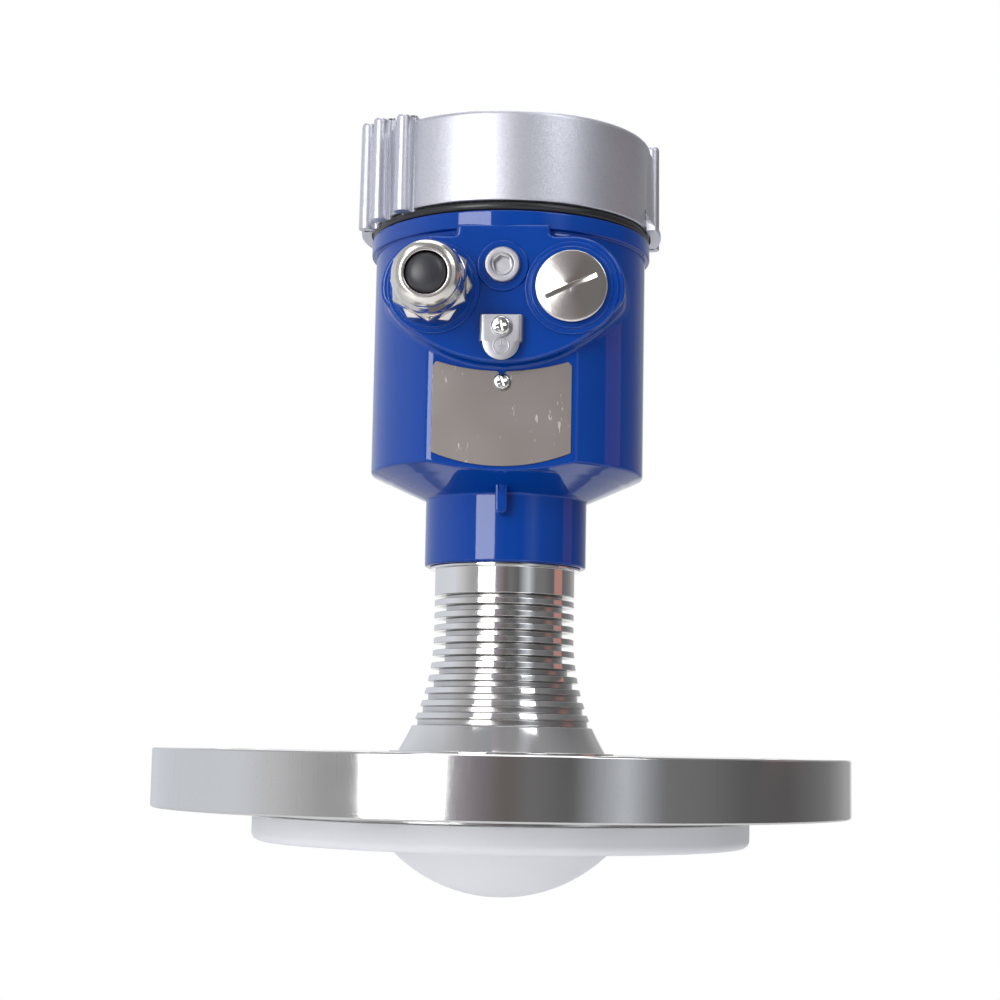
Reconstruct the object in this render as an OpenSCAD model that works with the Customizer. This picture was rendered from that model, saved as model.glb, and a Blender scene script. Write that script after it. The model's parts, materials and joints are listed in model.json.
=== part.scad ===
// Flange-mounted radar level transmitter.
// Z is up. The origin is the centre of the bolt circle on the flange's sealing side.
// The housing's front, with the cable entries, faces -Y.

/* [Flange] */
// Outer diameter of the flange
flange_d = 220; // [200:1:250]
// Thickness of the flange without its raised face
flange_t = 18; // [14:0.5:24]
// Gap between the bolt holes and the raised sealing face
face_gap = 2; // [1:0.5:8]
// Height of the raised sealing face
raised_face_t = 2; // [1.5:0.5:3]
// Distance from the rim to the bolt circle
bolt_inset = 20; // [16:0.5:26]
// Number of bolt holes
bolt_count = 8; // [4:1:12]
// Diameter of each bolt hole
bolt_hole_d = 18; // [14:0.5:20]
// Chamfer on the flange's rim
rim_chamfer = 1; // [0.5:0.1:2]

/* [Lens] */
// Step from the raised face in to the white lens disc
disc_inset = 0.5; // [0.2:0.1:4]
// Thickness of the lens disc
disc_t = 8; // [6:0.5:12]
// Edge radius on the underside of the disc
disc_edge_r = 2; // [1:0.5:3]
// Diameter of the dome where it leaves the disc
dome_d = 74; // [60:1:90]
// Height of the dome
dome_h = 17; // [10:0.5:24]
// Diameter of the hub that screws into the flange
hub_d = 64; // [62:1:70]
// Height of the hub above the disc
hub_h = 10; // [8:0.5:12]
// Height of the cone above the hub, inside the horn
cone_h = 30; // [20:1:40]

/* [Finned neck] */
// Height of the neck from the flange to the housing
neck_h = 59.2; // [57:0.2:66]
// Diameter of the plain collar and the straight fins
collar_d = 45; // [43:0.5:48]
// Diameter of the flare at the flange
flare_d = 67; // [60:0.5:68]
// Height at which the flare becomes a straight neck
flare_h = 38; // [34:0.5:42]
// Number of cooling fins
fin_count = 10; // [5:1:10]
// Distance from one fin to the next
fin_pitch = 4; // [3.4:0.1:4]
// Thickness of a fin
fin_t = 2; // [1.5:0.1:2.4]
// Depth of the grooves in the straight part
fin_depth = 3.8; // [2.5:0.1:4.5]
// Height of the narrow groove under the collar
first_groove_h = 1.3; // [1:0.1:2]
// Height of the plain collar
collar_h = 8.5; // [6:0.5:9]
// Width of the shoulder that the housing stands on
shoulder_w = 1.9; // [1:0.1:2.6]
// Thickness of the shoulder
shoulder_t = 0.8; // [0.6:0.1:1.5]
// Width of the thin weld ring at the foot
weld_w = 2.5; // [1:0.5:5]
// Thickness of the weld ring
weld_t = 0.5; // [0.3:0.1:0.8]
// Height above the flange where the groove floors stop following the flare
floor_bend_h = 30; // [24:1:36]
// Height of the horn that narrows from the lens to the waveguide
horn_h = 52; // [44:1:56]
// Height of the microwave module
module_h = 18.8; // [14:0.2:20]
// Bore of the waveguide
waveguide_bore_d = 8; // [6:0.5:9]

/* [Housing] */
// Outer diameter of the round body
body_d = 88; // [86:0.5:90]
// Wall of the housing's neck round the swivel spigot
neck_wall = 3.5; // [3:0.1:5]
// Height of the housing's neck
housing_neck_h = 21.4; // [19:0.2:24]
// Height of the cone between neck and body
cone_rise = 8.2; // [6:0.2:12]
// Height of the straight body under the lip
body_h = 71.5; // [69:0.5:78]
// Height of the lip under the lid
lip_h = 5.4; // [4:0.2:7]
// Step from the body out to the lip and the lid
lip_step = 1.5; // [1:0.1:3]
// Wall thickness of the casting
wall = 3.6; // [3:0.1:3.9]
// Depth of the flat name panel below the round body
panel_depth = 6.3; // [5.5:0.1:7.2]

/* [Front pad] */
// Height of the front pad over the round body, at the cable entries
pad_stand = 0.6; // [0:0.1:2]
// Draft of the pad, leaning out towards the lid
pad_tilt = 3; // [1:0.5:5]
// Distance between the two cable entries
entry_spacing = 42.4; // [41:0.2:44]
// Distance from the lip down to the entries
entry_drop = 18.9; // [17:0.2:20]
// Width of the pad round each entry boss
lobe_w = 1.9; // [1:0.1:2.6]
// Radius of the arc along the bottom of the pad
belly_r = 45; // [42:0.5:48]
// Distance of the pad's lowest point below the entries
belly_drop = 23.1; // [22.6:0.1:25]
// Width of the strip from the pad up to the lip
strip_w = 28.8; // [26:0.2:30]
// Width of each entry boss round its thread
boss_w = 4.4; // [4:0.1:4.8]
// Height of one step of the entry boss
boss_step = 1; // [0.6:0.1:1.5]
// Thread diameter of the cable entries
entry_thread_d = 20; // [18:0.5:20]

/* [Lid] */
// Height of the lid
lid_h = 29.2; // [26:0.2:32]
// Height of the seal between the lip and the lid
seal_h = 3.2; // [2.6:0.1:3.6]
// Edge radius on top of the lid
lid_edge_r = 2; // [1:0.5:3]
// Thickness of the lid's rim outside its thread
lid_rim_w = 3.5; // [3.2:0.1:4]
// Engaged height of the lid thread
lid_thread_h = 12; // [9:0.5:13]
// Diameter of a grip rib at its top
rib_d = 4.4; // [3.6:0.2:4.8]
// Distance of a rib's centre outside the lid
rib_stand = 2.6; // [2.3:0.1:3.1]
// Ribs in each of the two groups
rib_count = 3; // [2:1:4]
// Angle between neighbouring ribs
rib_step = 16; // [13:1:18]
// Angle from the housing's front to the nearest rib
rib_turn = 42.7; // [-90:0.1:90]
// Rise of the first rib above the lid
rib_rise = 1.1; // [0.8:0.1:3]
// Further rise of each following rib
rib_climb = 2.1; // [0:0.1:2.5]
// Angle that the lug beside each group spans
lug_span = 31; // [16:1:40]
// Depth of ribs and lugs below the lid's rim
rib_foot = 1.2; // [0.6:0.1:1.6]

/* [Cable gland and plugs] */
// Width of the gland's hexagons outside the entry thread, at their flats
gland_rim = 1; // [0.3:0.1:2]
// Height of the gland body's hexagon
gland_hex_h = 5.8; // [4:0.1:8]
// Height of the gland nut's hexagon
nut_hex_h = 6.5; // [6:0.5:8]
// Length of the gland nut
nut_h = 17.2; // [16:0.1:20]
// Step from the nut's flats in to its rounded nose
nose_inset = 1.2; // [1:0.1:2]
// Lip that the nut's nose keeps in front of the seal
nose_lip = 0.5; // [0.3:0.1:1.2]
// Width of the blanking plug's head outside its thread
plug_rim = 1; // [0.7:0.1:2]
// Height of the blanking plug's head
plug_h = 3; // [2:0.2:4.5]
// Turn of the screwdriver slot
slot_turn = 24; // [-90:1:90]
// Diameter of the hexagon-socket plug
socket_plug_d = 11; // [9:0.2:12]
// Height of the hexagon-socket plug above the entries
socket_plug_rise = 6.8; // [5:0.2:9]

/* [Plates] */
// Distance from each edge of the flat panel in to the name plate
plate_inset = 1.2; // [0.6:0.1:4]
// Gap between the name plate and the pad above it
plate_gap = 1.5; // [0.6:0.1:5]
// Thickness of the name plate
plate_t = 0.5; // [0.4:0.1:1]
// Width of the earth clamp
clamp_w = 13.4; // [12:0.2:14]
// Height of the earth clamp off the pad
clamp_stand = 3.6; // [3:0.2:5]
// Sheet thickness of the earth clamp
clamp_t = 1; // [0.8:0.1:1.4]

/* [Inside] */
// Gap between the electronics case and the posts that carry it
case_gap = 0.6; // [0.4:0.1:3]
// Distance from the case's ears up to the mouth of the housing
case_drop = 1.25; // [0.5:0.25:4]
// Height of the components on the upper board
component_h = 10; // [6:0.5:12]
// Length of the terminal block
terminal_w = 40; // [34:1:44]
// Number of terminals
terminal_count = 5; // [3:1:5]

/* [Hidden] */
$fn = 96;

steel = [0.80, 0.80, 0.82];
nickel = [0.78, 0.76, 0.72];
enamel = [0.02, 0.25, 0.62];
silver = [0.74, 0.75, 0.78];
rubber = [0.06, 0.06, 0.07];

// Clearances between pieces
seat_gap = 0.05;
running_gap = 0.05;
thread_gap = 0.1;
free_gap = 0.3;
cut = 1;
big = 400;

// Diameters of the flange, outside inwards
bolt_circle_d = flange_d - 2 * bolt_inset;
raised_face_d = bolt_circle_d - bolt_hole_d - 2 * face_gap;
disc_d = raised_face_d - 2 * disc_inset;

// Levels from the sealing side upwards
flange_top = flange_t;
disc_z = -raised_face_t - disc_t;
hub_top = hub_h - raised_face_t;
housing_z = flange_top + neck_h;
shoulder_z = housing_z - running_gap * 2 - shoulder_t;
collar_z = shoulder_z - collar_h;
fin_top = collar_z - first_groove_h;
cone_z = housing_z + housing_neck_h;
body_z = cone_z + cone_rise;
lip_z = body_z + body_h;
lip_top = lip_z + lip_h;
lid_z = lip_top + seal_h;
lid_top = lid_z + lid_h;
spigot_top = lid_z + lid_thread_h;

// Neck
collar_r = collar_d / 2;
flare_r = flare_d / 2;
flare_arc_r = (flare_h * flare_h + pow(flare_r - collar_r, 2)) / (2 * (flare_r - collar_r));
floor_r = collar_r - fin_depth;
shoulder_d = collar_d + 2 * shoulder_w;
weld_d = flare_d + 2 * weld_w;
floor_bend_z = flange_top + floor_bend_h;
floor_slope = 0.415;
socket_r = hub_d / 2 - 3;
neck_foot_z = hub_top + seat_gap;
horn_mouth_r = socket_r - 3;
waveguide_wall = 2;
waveguide_r = waveguide_bore_d / 2 + waveguide_wall;
tube_r = waveguide_r + running_gap;
spigot_r = collar_r;
neck_bore_r = spigot_r + running_gap;
ledge_z = cone_z + 5.4;
ring_t = 1.8;
ring_z = ledge_z + 2 * running_gap;
ring_groove_r = spigot_r - 2;
ring_r = spigot_r + 3;
neck_top = ring_z + ring_t + 2.2;
module_r = spigot_r - 4.5;
module_z = neck_top - module_h - 1.2;
neck_seal_z = housing_z + 10;
neck_seal_w = 2.8;

// Housing
body_r = body_d / 2;
lid_d = body_d + 2 * lip_step;
housing_neck_d = collar_d + 2 * neck_wall;
lip_r = lid_d / 2;
thread_r = lip_r - lid_rim_w;
rib_r = lip_r + rib_stand;
floor_z = ledge_z + 6;
cavity_r = body_r - wall;
mouth_r = thread_r - wall;
edge = 0.8;
mouth_z = lip_z - 4;
panel_y = body_r - panel_depth;
panel_wall_y = panel_y - wall + 0.6;
entry_z = lip_z - entry_drop;
entry_x = entry_spacing / 2;
pad_y = body_r + pad_stand;
boss_d = entry_thread_d + 2 * boss_w;
lobe_r = boss_d / 2 + lobe_w;
pad_depth = pad_y - sqrt(body_r * body_r - pow(entry_x + lobe_r, 2)) + 2;
belly_u = belly_r - belly_drop;
strip_top = (lip_z - entry_z + edge) / cos(pad_tilt);
step_h = 2 * boss_step;
thread_r_entry = entry_thread_d / 2;
entry_bore_r = thread_r_entry;
male_r = thread_r_entry - thread_gap;
thread_len = 8;
post_r = 3;
post_x = mouth_r - post_r - free_gap;

// Gland, measured along its axis from the top of the entry boss
washer_t = 0.5;
gland_af = entry_thread_d + 2 * gland_rim;
plug_d = entry_thread_d + 2 * plug_rim;
gland_hex_z = washer_t + seat_gap;
gland_hex_top = gland_hex_z + gland_hex_h;
nut_z = gland_hex_top + 0.5;
nut_top = nut_z + nut_h;
gland_wall = 2.8;
gland_bore_r = male_r - gland_wall;
nut_thread_r = gland_af / 2 - 1.9;
gland_spigot_top = nut_z + nut_h / 2 + 0.4;
shoulder_r = gland_af / 2 - 0.4;
insert_r = gland_bore_r - free_gap;
nose_r = gland_af / 2 - nose_inset;
nose_hole_r = insert_r - nose_lip;
insert_z = gland_hex_top;
clamp_ring_z = gland_spigot_top + 0.2;
nose_wall = 1.6;

// Plates on the front
earth_screw_u = -12.4;
clamp_top_u = -8.7;
clamp_leg_h = 8.2;
tongue_r = 5.7;
plate_bottom_z = body_z - 1.5;
plate_w = 2 * (sqrt(body_r * body_r - panel_y * panel_y) - plate_inset);
plate_h = entry_z - belly_drop * cos(pad_tilt) - plate_gap - plate_bottom_z;
plate_screw_z = plate_bottom_z + plate_h - 3.4;

// Inside
case_wall = 2;
ear_t = 3;
ear_w = 6.4;
case_r = post_x - post_r - case_gap;
case_z = floor_z + seat_gap;
case_top = mouth_z - case_drop - ear_t;
case_h = case_top - case_z;
case_roof = 2;
board_t = 1.6;
board_step_z = case_top - component_h - 8;
power_z = board_step_z - board_t - seat_gap;
main_z = power_z - 20;
board_r = case_r - case_wall - free_gap;
spacer_r = 2.5;
case_screw_head = [2.9, 2.2];
case_screw_r = 1.6;
case_screw_l = 8;
terminal_d = 16;
terminal_h = 10;
terminal_screw_r = 2.2;
terminal_screw_h = 3;
terminal_well = 5;
terminal_pitch = terminal_w / (terminal_count + 0.5);
terminal_y = 6;

// ---------- shared shapes ----------

// Ring of rectangular section
module ring(inner_r, outer_r, z, h) {
    translate([0, 0, z])
        difference() {
            cylinder(h = h, r = outer_r);
            translate([0, 0, -cut]) cylinder(h = h + 2 * cut, r = inner_r);
        }
}

// Round-section ring, such as an O-ring
module o_ring(centre_r, section_r, z) {
    translate([0, 0, z])
        rotate_extrude()
            translate([centre_r, 0])
                circle(r = section_r, $fn = 32);
}

// Hexagonal prism with chamfered corners at both ends
module hexagon(across_flats, h, chamfer) {
    corner_r = across_flats / sqrt(3);
    intersection() {
        cylinder(h = h, r = corner_r, $fn = 6);
        union() {
            cylinder(h = chamfer, r1 = corner_r - 1.7 * chamfer, r2 = corner_r);
            translate([0, 0, chamfer]) cylinder(h = h - 2 * chamfer, r = corner_r + cut);
            translate([0, 0, h - chamfer])
                cylinder(h = chamfer, r1 = corner_r, r2 = corner_r - 1.7 * chamfer);
        }
    }
}

// Pan-head screw with a cross recess: head above z = 0, shank below
module pan_screw(head_r, head_h, shank_r, shank_h) {
    recess_w = head_r * 0.34;
    recess_l = head_r * 1.15;
    difference() {
        union() {
            cylinder(h = head_h * 0.45, r = head_r);
            translate([0, 0, head_h * 0.45]) cylinder(h = head_h * 0.55, r1 = head_r, r2 = head_r * 0.62);
            translate([0, 0, -shank_h]) cylinder(h = shank_h + head_h * 0.2, r = shank_r);
        }
        for (turn = [0, 90])
            rotate([0, 0, turn])
                translate([-recess_l / 2, -recess_w / 2, head_h * 0.4])
                    cube([recess_l, recess_w, head_h]);
    }
}

// Places children on the front pad: +Z leaves the pad, +Y runs up it
module on_pad(x, u) {
    translate([0, -pad_y, entry_z])
        rotate([90 + pad_tilt, 0, 0])
            translate([x, u, 0])
                children();
}

// ---------- process connection ----------

module flange() {
    rim_r = flange_d / 2;
    face_r = raised_face_d / 2;
    color(steel)
    difference() {
        rotate_extrude()
            polygon([
                [hub_d / 2, -raised_face_t],
                [face_r, -raised_face_t],
                [face_r, 0],
                [rim_r - rim_chamfer, 0],
                [rim_r, rim_chamfer],
                [rim_r, flange_top - rim_chamfer],
                [rim_r - rim_chamfer, flange_top],
                [socket_r + seat_gap, flange_top],
                [socket_r + seat_gap, hub_top],
                [hub_d / 2, hub_top]
            ]);
        for (i = [0 : bolt_count - 1])
            rotate([0, 0, (i + 0.5) * 360 / bolt_count])
                translate([bolt_circle_d / 2, 0, -cut])
                    cylinder(h = flange_top + 2 * cut, d = bolt_hole_d);
        ring(hub_d / 2 + 2, hub_d / 2 + 5, -raised_face_t - cut, cut + 2.2);
    }
}

// Disc, dome, hub and cone are turned from one piece
module lens_disc() {
    disc_r = disc_d / 2;
    hub_r = hub_d / 2 - thread_gap;
    sphere_r = (pow(dome_d / 2, 2) + dome_h * dome_h) / (2 * dome_h);
    cone_r = horn_mouth_r - 1.2;
    cone_tip_r = cone_r - (horn_mouth_r - tube_r) * cone_h / horn_h;
    color("white")
    rotate_extrude()
        union() {
            translate([0, disc_z + disc_edge_r]) square([disc_r, disc_t - disc_edge_r]);
            translate([0, disc_z]) square([disc_r - disc_edge_r, disc_t]);
            translate([disc_r - disc_edge_r, disc_z + disc_edge_r]) circle(r = disc_edge_r, $fn = 48);
            intersection() {
                translate([0, disc_z - dome_h + sphere_r]) circle(r = sphere_r, $fn = 240);
                translate([0, disc_z - dome_h]) square([dome_d / 2 + cut, dome_h + cut]);
            }
            polygon([
                [0, disc_z + cut],
                [hub_r, disc_z + cut],
                [hub_r, hub_top - edge],
                [hub_r - edge, hub_top],
                [cone_r, hub_top],
                [cone_tip_r, hub_top + cone_h],
                [0, hub_top + cone_h]
            ]);
        }
}

module lens_seal() {
    color(rubber) o_ring(hub_d / 2 + 3.5, 1.05, -raised_face_t + 1.1);
}

// Half section of the neck, from the flange socket up to the swivel spigot
module neck_section() {
    difference() {
        union() {
            translate([0, neck_foot_z]) square([socket_r, flange_top - neck_foot_z + cut]);
            translate([0, flange_top]) square([weld_d / 2, weld_t]);
            difference() {
                translate([0, flange_top]) square([flare_r, flare_h]);
                translate([collar_r + flare_arc_r, flange_top + flare_h]) circle(r = flare_arc_r, $fn = 360);
            }
            translate([0, flange_top + flare_h - cut])
                square([collar_r, neck_top - flange_top - flare_h + cut]);
            translate([0, shoulder_z]) square([shoulder_d / 2, shoulder_t]);
        }
        // Grooves between the fins
        translate([floor_r, collar_z - first_groove_h]) square([big, first_groove_h]);
        for (i = [0 : fin_count - 1])
            fin_groove(fin_top - i * fin_pitch - fin_t, fin_pitch - fin_t);
        // Grooves for the seal and the retaining ring
        translate([spigot_r - neck_seal_w, neck_seal_z]) square([big, neck_seal_w + 0.8]);
        translate([ring_groove_r, ring_z]) square([big, ring_t + seat_gap]);
        // Horn, waveguide and module seat
        polygon([
            [-cut, neck_foot_z - cut],
            [horn_mouth_r, neck_foot_z - cut],
            [horn_mouth_r, neck_foot_z],
            [tube_r, neck_foot_z + horn_h],
            [tube_r, module_z],
            [module_r + running_gap, module_z],
            [module_r + running_gap, neck_top + cut],
            [-cut, neck_top + cut]
        ]);
    }
}

// One groove, whose floor widens with the flare
module fin_groove(top, h) {
    widen = max(0, floor_bend_z - top + h / 2) * floor_slope;
    translate([floor_r + widen, top - h]) square([big, h]);
}

module finned_neck() {
    color(steel) rotate_extrude() neck_section();
}

module waveguide_tube() {
    tube_z = neck_foot_z + horn_h;
    color("goldenrod") ring(waveguide_bore_d / 2, waveguide_r, tube_z, module_z - tube_z);
}

module microwave_module() {
    plinth_h = 1.8;
    color("gainsboro")
    union() {
        translate([0, 0, module_z + seat_gap]) cylinder(h = module_h - plinth_h, r = module_r);
        translate([0, 0, module_z + seat_gap]) cylinder(h = module_h - seat_gap, r = module_r - 3);
    }
}

module neck_seal() {
    section_r = neck_seal_w / 2 - seat_gap;
    color(rubber) o_ring(spigot_r - section_r - seat_gap, section_r, neck_seal_z + section_r + 0.4);
}

// Snap ring that keeps the housing on the neck, with a gap for fitting pliers
module retaining_ring() {
    color("dimgray")
    difference() {
        ring(ring_groove_r + seat_gap, ring_r, ring_z + seat_gap / 2, ring_t);
        translate([0, -3, ring_z - cut]) cube([big, 6, ring_t + 2 * cut]);
    }
}

// ---------- housing ----------

module housing_outside() {
    rotate_extrude()
        polygon([
            [0, housing_z],
            [housing_neck_d / 2 - edge, housing_z],
            [housing_neck_d / 2, housing_z + edge],
            [housing_neck_d / 2, cone_z],
            [body_r - edge, body_z - edge * cone_rise / (body_r - housing_neck_d / 2)],
            [body_r, body_z + edge],
            [body_r, lip_z],
            [lip_r - edge / 2, lip_z],
            [lip_r, lip_z + edge / 2],
            [lip_r, lip_top - edge / 2],
            [lip_r - edge / 2, lip_top],
            [thread_r, lip_top],
            [thread_r, spigot_top - edge],
            [thread_r - edge, spigot_top],
            [0, spigot_top]
        ]);
}

// Outline of the front pad: two lobes, a belly and a strip up to the lip
module pad_outline() {
    intersection() {
        translate([0, belly_u]) circle(r = belly_r, $fn = 360);
        union() {
            for (side = [-1, 1])
                translate([side * entry_x, 0]) circle(r = lobe_r);
            translate([-entry_x, -belly_drop - cut]) square([entry_spacing, belly_drop + lobe_r - 0.1]);
        }
    }
    translate([-strip_w / 2, 0]) square([strip_w, strip_top]);
    // Belly beside the lobes
    intersection() {
        translate([0, belly_u]) circle(r = belly_r, $fn = 360);
        polygon([
            [-entry_x - lobe_r, 0],
            [entry_x + lobe_r, 0],
            [entry_x + 3, -belly_drop],
            [-entry_x - 3, -belly_drop]
        ]);
    }
}

module entry_boss() {
    cylinder(h = boss_step, d1 = boss_d, d2 = boss_d - boss_step);
    cylinder(h = step_h, d1 = boss_d - 3, d2 = boss_d - 3.8);
}

module stop_lug() {
    lug_w = 3.7;
    lug_y = 30.5;
    lug_drop = 6.9;
    translate([-lug_w / 2, -lug_y, cone_z - lug_drop + lug_w / 2])
        cube([lug_w, 6, lug_drop + 3]);
    translate([0, -lug_y, cone_z - lug_drop + lug_w / 2])
        rotate([-90, 0, 0])
            cylinder(h = 6, d = lug_w - 0.01);
}

// Space inside the housing, flattened behind the name panel
module housing_cavity() {
    intersection() {
        translate([0, 0, floor_z]) cylinder(h = lip_z - floor_z, r = cavity_r);
        translate([-big / 2, -panel_wall_y, 0]) cube([big, big, big]);
    }
    translate([0, 0, mouth_z]) cylinder(h = big, r = mouth_r);
    translate([0, 0, housing_z - cut]) cylinder(h = ledge_z - housing_z + 2 * cut, r = neck_bore_r);
    translate([0, 0, ledge_z]) cylinder(h = floor_z - ledge_z + cut, r = ring_r + 0.6);
}

module housing() {
    color(enamel)
    difference() {
        union() {
            difference() {
                housing_outside();
                translate([-big / 2, -panel_y - big, cone_z - cut]) cube([big, big, entry_z - cone_z - 8]);
            }
            on_pad(0, 0) translate([0, 0, -pad_depth]) linear_extrude(height = pad_depth) pad_outline();
            for (side = [-1, 1])
                on_pad(side * entry_x, 0) entry_boss();
            on_pad(0, socket_plug_rise)
                cylinder(h = boss_step, d1 = socket_plug_d + 5, d2 = socket_plug_d + 4);
            stop_lug();
        }
        difference() {
            housing_cavity();
            case_posts();
        }
        for (side = [-1, 1])
            on_pad(side * entry_x, 0) translate([0, 0, -big / 8]) cylinder(h = big / 4, r = entry_bore_r);
        at_posts(case_screw_r + seat_gap, case_top - case_screw_l - 2, case_screw_l + 4);
        on_pad(0, socket_plug_rise) translate([0, 0, -6]) cylinder(h = 20, r = 4);
        on_pad(0, earth_screw_u) translate([0, 0, -6]) cylinder(h = 20, r = 1.6);
        translate([0, 2.7 - panel_y, plate_screw_z]) rotate([90, 0, 0]) cylinder(h = 2.7 + cut, r = 1.1);
    }
}

// Two posts that carry the electronics case, each on a web from the wall
module case_posts() {
    web_w = 3;
    post_h = case_top - floor_z + cut;
    at_posts(post_r, floor_z - cut, post_h);
    for (side = [-1, 1])
        translate([side * (post_x + cavity_r) / 2 - (cavity_r - post_x) / 2, -web_w / 2, floor_z - cut])
            cube([cavity_r - post_x, web_w, post_h]);
}

module socket_plug() {
    head_r = socket_plug_d / 2;
    color(nickel)
    on_pad(0, socket_plug_rise)
        translate([0, 0, boss_step + seat_gap])
            difference() {
                union() {
                    translate([0, 0, 0.6]) cylinder(h = 1.2, r = head_r);
                    translate([0, 0, 1.8]) cylinder(h = 0.6, r1 = head_r, r2 = head_r - 1.2);
                    translate([0, 0, -6]) cylinder(h = 7, r = 3.9);
                }
                translate([0, 0, -1]) cylinder(h = 5, r = 2.9, $fn = 6);
            }
}

module socket_plug_seal() {
    color(rubber) on_pad(0, socket_plug_rise) ring(4.1, socket_plug_d / 2 - 0.3, boss_step, 0.6);
}

// ---------- cable gland ----------

module on_gland() {
    on_pad(-entry_x, 0) translate([0, 0, step_h]) children();
}

module gland_washer() {
    color(rubber) on_gland() ring(male_r + seat_gap, male_r + 0.9, 0, washer_t);
}

module gland_body() {
    color(nickel)
    on_gland()
        difference() {
            union() {
                translate([0, 0, -thread_len - step_h])
                    cylinder(h = thread_len + step_h + gland_hex_z + cut, r = male_r);
                translate([0, 0, gland_hex_z]) hexagon(gland_af, gland_hex_h, 0.8);
                translate([0, 0, gland_hex_top - cut])
                    cylinder(h = gland_spigot_top - gland_hex_top + cut, r = nut_thread_r - thread_gap);
            }
            translate([0, 0, -big / 8]) cylinder(h = big / 4, r = gland_bore_r);
        }
}

// Split ring that the nut presses onto the seal
module gland_clamp_ring() {
    color("ivory")
    on_gland()
        difference() {
            ring(insert_r + seat_gap, nut_thread_r - 0.5, clamp_ring_z, 1.6);
            translate([0, -0.6, clamp_ring_z - cut]) cube([big, 1.2, 4]);
        }
}

module gland_seal() {
    color(rubber) on_gland() ring(4.4, insert_r, insert_z, nut_top - 4.4 - insert_z);
}

// Blind plug with a domed head that closes the unused gland
module gland_dust_plug() {
    head_r = nose_hole_r - 0.2;
    dome_rise = 1.9;
    cap_r = (head_r * head_r + dome_rise * dome_rise) / (2 * dome_rise);
    stem_r = 4.4 - seat_gap;
    head_z = nut_top - 4.4 + seat_gap;
    skirt_h = 3.2;
    color(rubber)
    on_gland()
        rotate_extrude()
            union() {
                translate([0, insert_z + 4]) square([stem_r, head_z - insert_z - 4 + cut]);
                translate([0, head_z]) square([head_r, skirt_h]);
                intersection() {
                    translate([0, head_z + skirt_h + dome_rise - cap_r]) circle(r = cap_r, $fn = 180);
                    translate([0, head_z + skirt_h - cut / 2]) square([head_r, dome_rise + cut]);
                }
            }
}

// Domed nut: hexagon, round shoulder and a rounded nose
module gland_nut() {
    nose_edge_r = 1.6;
    shoulder_h = 3.6;
    color(nickel)
    on_gland()
        difference() {
            union() {
                translate([0, 0, nut_z]) rotate([0, 0, 30]) hexagon(gland_af, nut_hex_h, 1);
                rotate_extrude()
                    polygon([
                        [0, nut_z + nut_hex_h - cut],
                        [shoulder_r, nut_z + nut_hex_h - cut],
                        [shoulder_r, nut_z + nut_hex_h + shoulder_h],
                        [shoulder_r - 0.3, nut_z + nut_hex_h + shoulder_h + 1.2],
                        [nose_r + 0.4, nut_top - 3.2],
                        [nose_r, nut_top - 1.8],
                        [nose_r - 0.5, nut_top - 0.7],
                        [nose_r - nose_edge_r, nut_top],
                        [0, nut_top]
                    ]);
            }
            translate([0, 0, nut_z - cut])
                cylinder(h = gland_spigot_top - nut_z + 2.2 + cut, r = nut_thread_r);
            translate([0, 0, nut_z]) cylinder(h = nut_h - nose_wall, r = insert_r + free_gap);
            translate([0, 0, nut_z]) cylinder(h = nut_h + cut, r = nose_hole_r);
        }
}

// ---------- blanking plug ----------

module on_plug() {
    on_pad(entry_x, 0) translate([0, 0, step_h]) children();
}

module blanking_plug_seal() {
    color(rubber) on_plug() ring(male_r + seat_gap, plug_d / 2 - 0.4, 0, 0.8);
}

module blanking_plug() {
    head_r = plug_d / 2;
    head_z = 0.8 + seat_gap;
    slot_l = plug_d * 0.745;
    slot_w = 1.3;
    slot_depth = 1.5;
    color(nickel)
    on_plug()
        difference() {
            union() {
                translate([0, 0, -thread_len - step_h + 1])
                    cylinder(h = thread_len + step_h + head_z, r = male_r);
                translate([0, 0, head_z]) cylinder(h = plug_h - 0.5, r = head_r);
                translate([0, 0, head_z + plug_h - 0.5]) cylinder(h = 0.5, r1 = head_r, r2 = head_r - 0.5);
            }
            rotate([0, 0, slot_turn])
                translate([-slot_l / 2, -slot_w / 2, head_z + plug_h - slot_depth])
                    cube([slot_l, slot_w, slot_depth + cut]);
            translate([0, 0, -thread_len - step_h]) cylinder(h = thread_len, r = male_r - 2.5);
        }
}

// ---------- plates ----------

// Folded clamp: a plate with a round tongue and two legs down to the pad
module earth_clamp() {
    leg_x = (clamp_w - clamp_t) / 2;
    color("silver")
    on_pad(0, 0)
        difference() {
            union() {
                translate([-clamp_w / 2, clamp_top_u - clamp_leg_h, clamp_stand - clamp_t])
                    cube([clamp_w, clamp_leg_h, clamp_t]);
                translate([0, clamp_top_u - clamp_leg_h, clamp_stand - clamp_t])
                    cylinder(h = clamp_t, r = tongue_r);
                for (side = [-1, 1])
                    translate([side * leg_x - clamp_t / 2, clamp_top_u - clamp_leg_h, seat_gap])
                        cube([clamp_t, clamp_leg_h, clamp_stand - seat_gap]);
            }
            translate([0, earth_screw_u, 0]) cylinder(h = clamp_stand + cut, r = 1.8);
        }
}

module earth_spring_washer() {
    color(steel)
    on_pad(0, earth_screw_u)
        difference() {
            ring(1.8, 3.3, clamp_stand + seat_gap, 0.8);
            translate([0, -0.3, clamp_stand]) cube([big, 0.6, 2]);
        }
}

module earth_screw() {
    color(steel)
    on_pad(0, earth_screw_u)
        translate([0, 0, clamp_stand + 0.8 + 2 * seat_gap])
            rotate([0, 0, 12])
                pan_screw(3, 2, 1.5, clamp_stand + 6);
}

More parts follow.
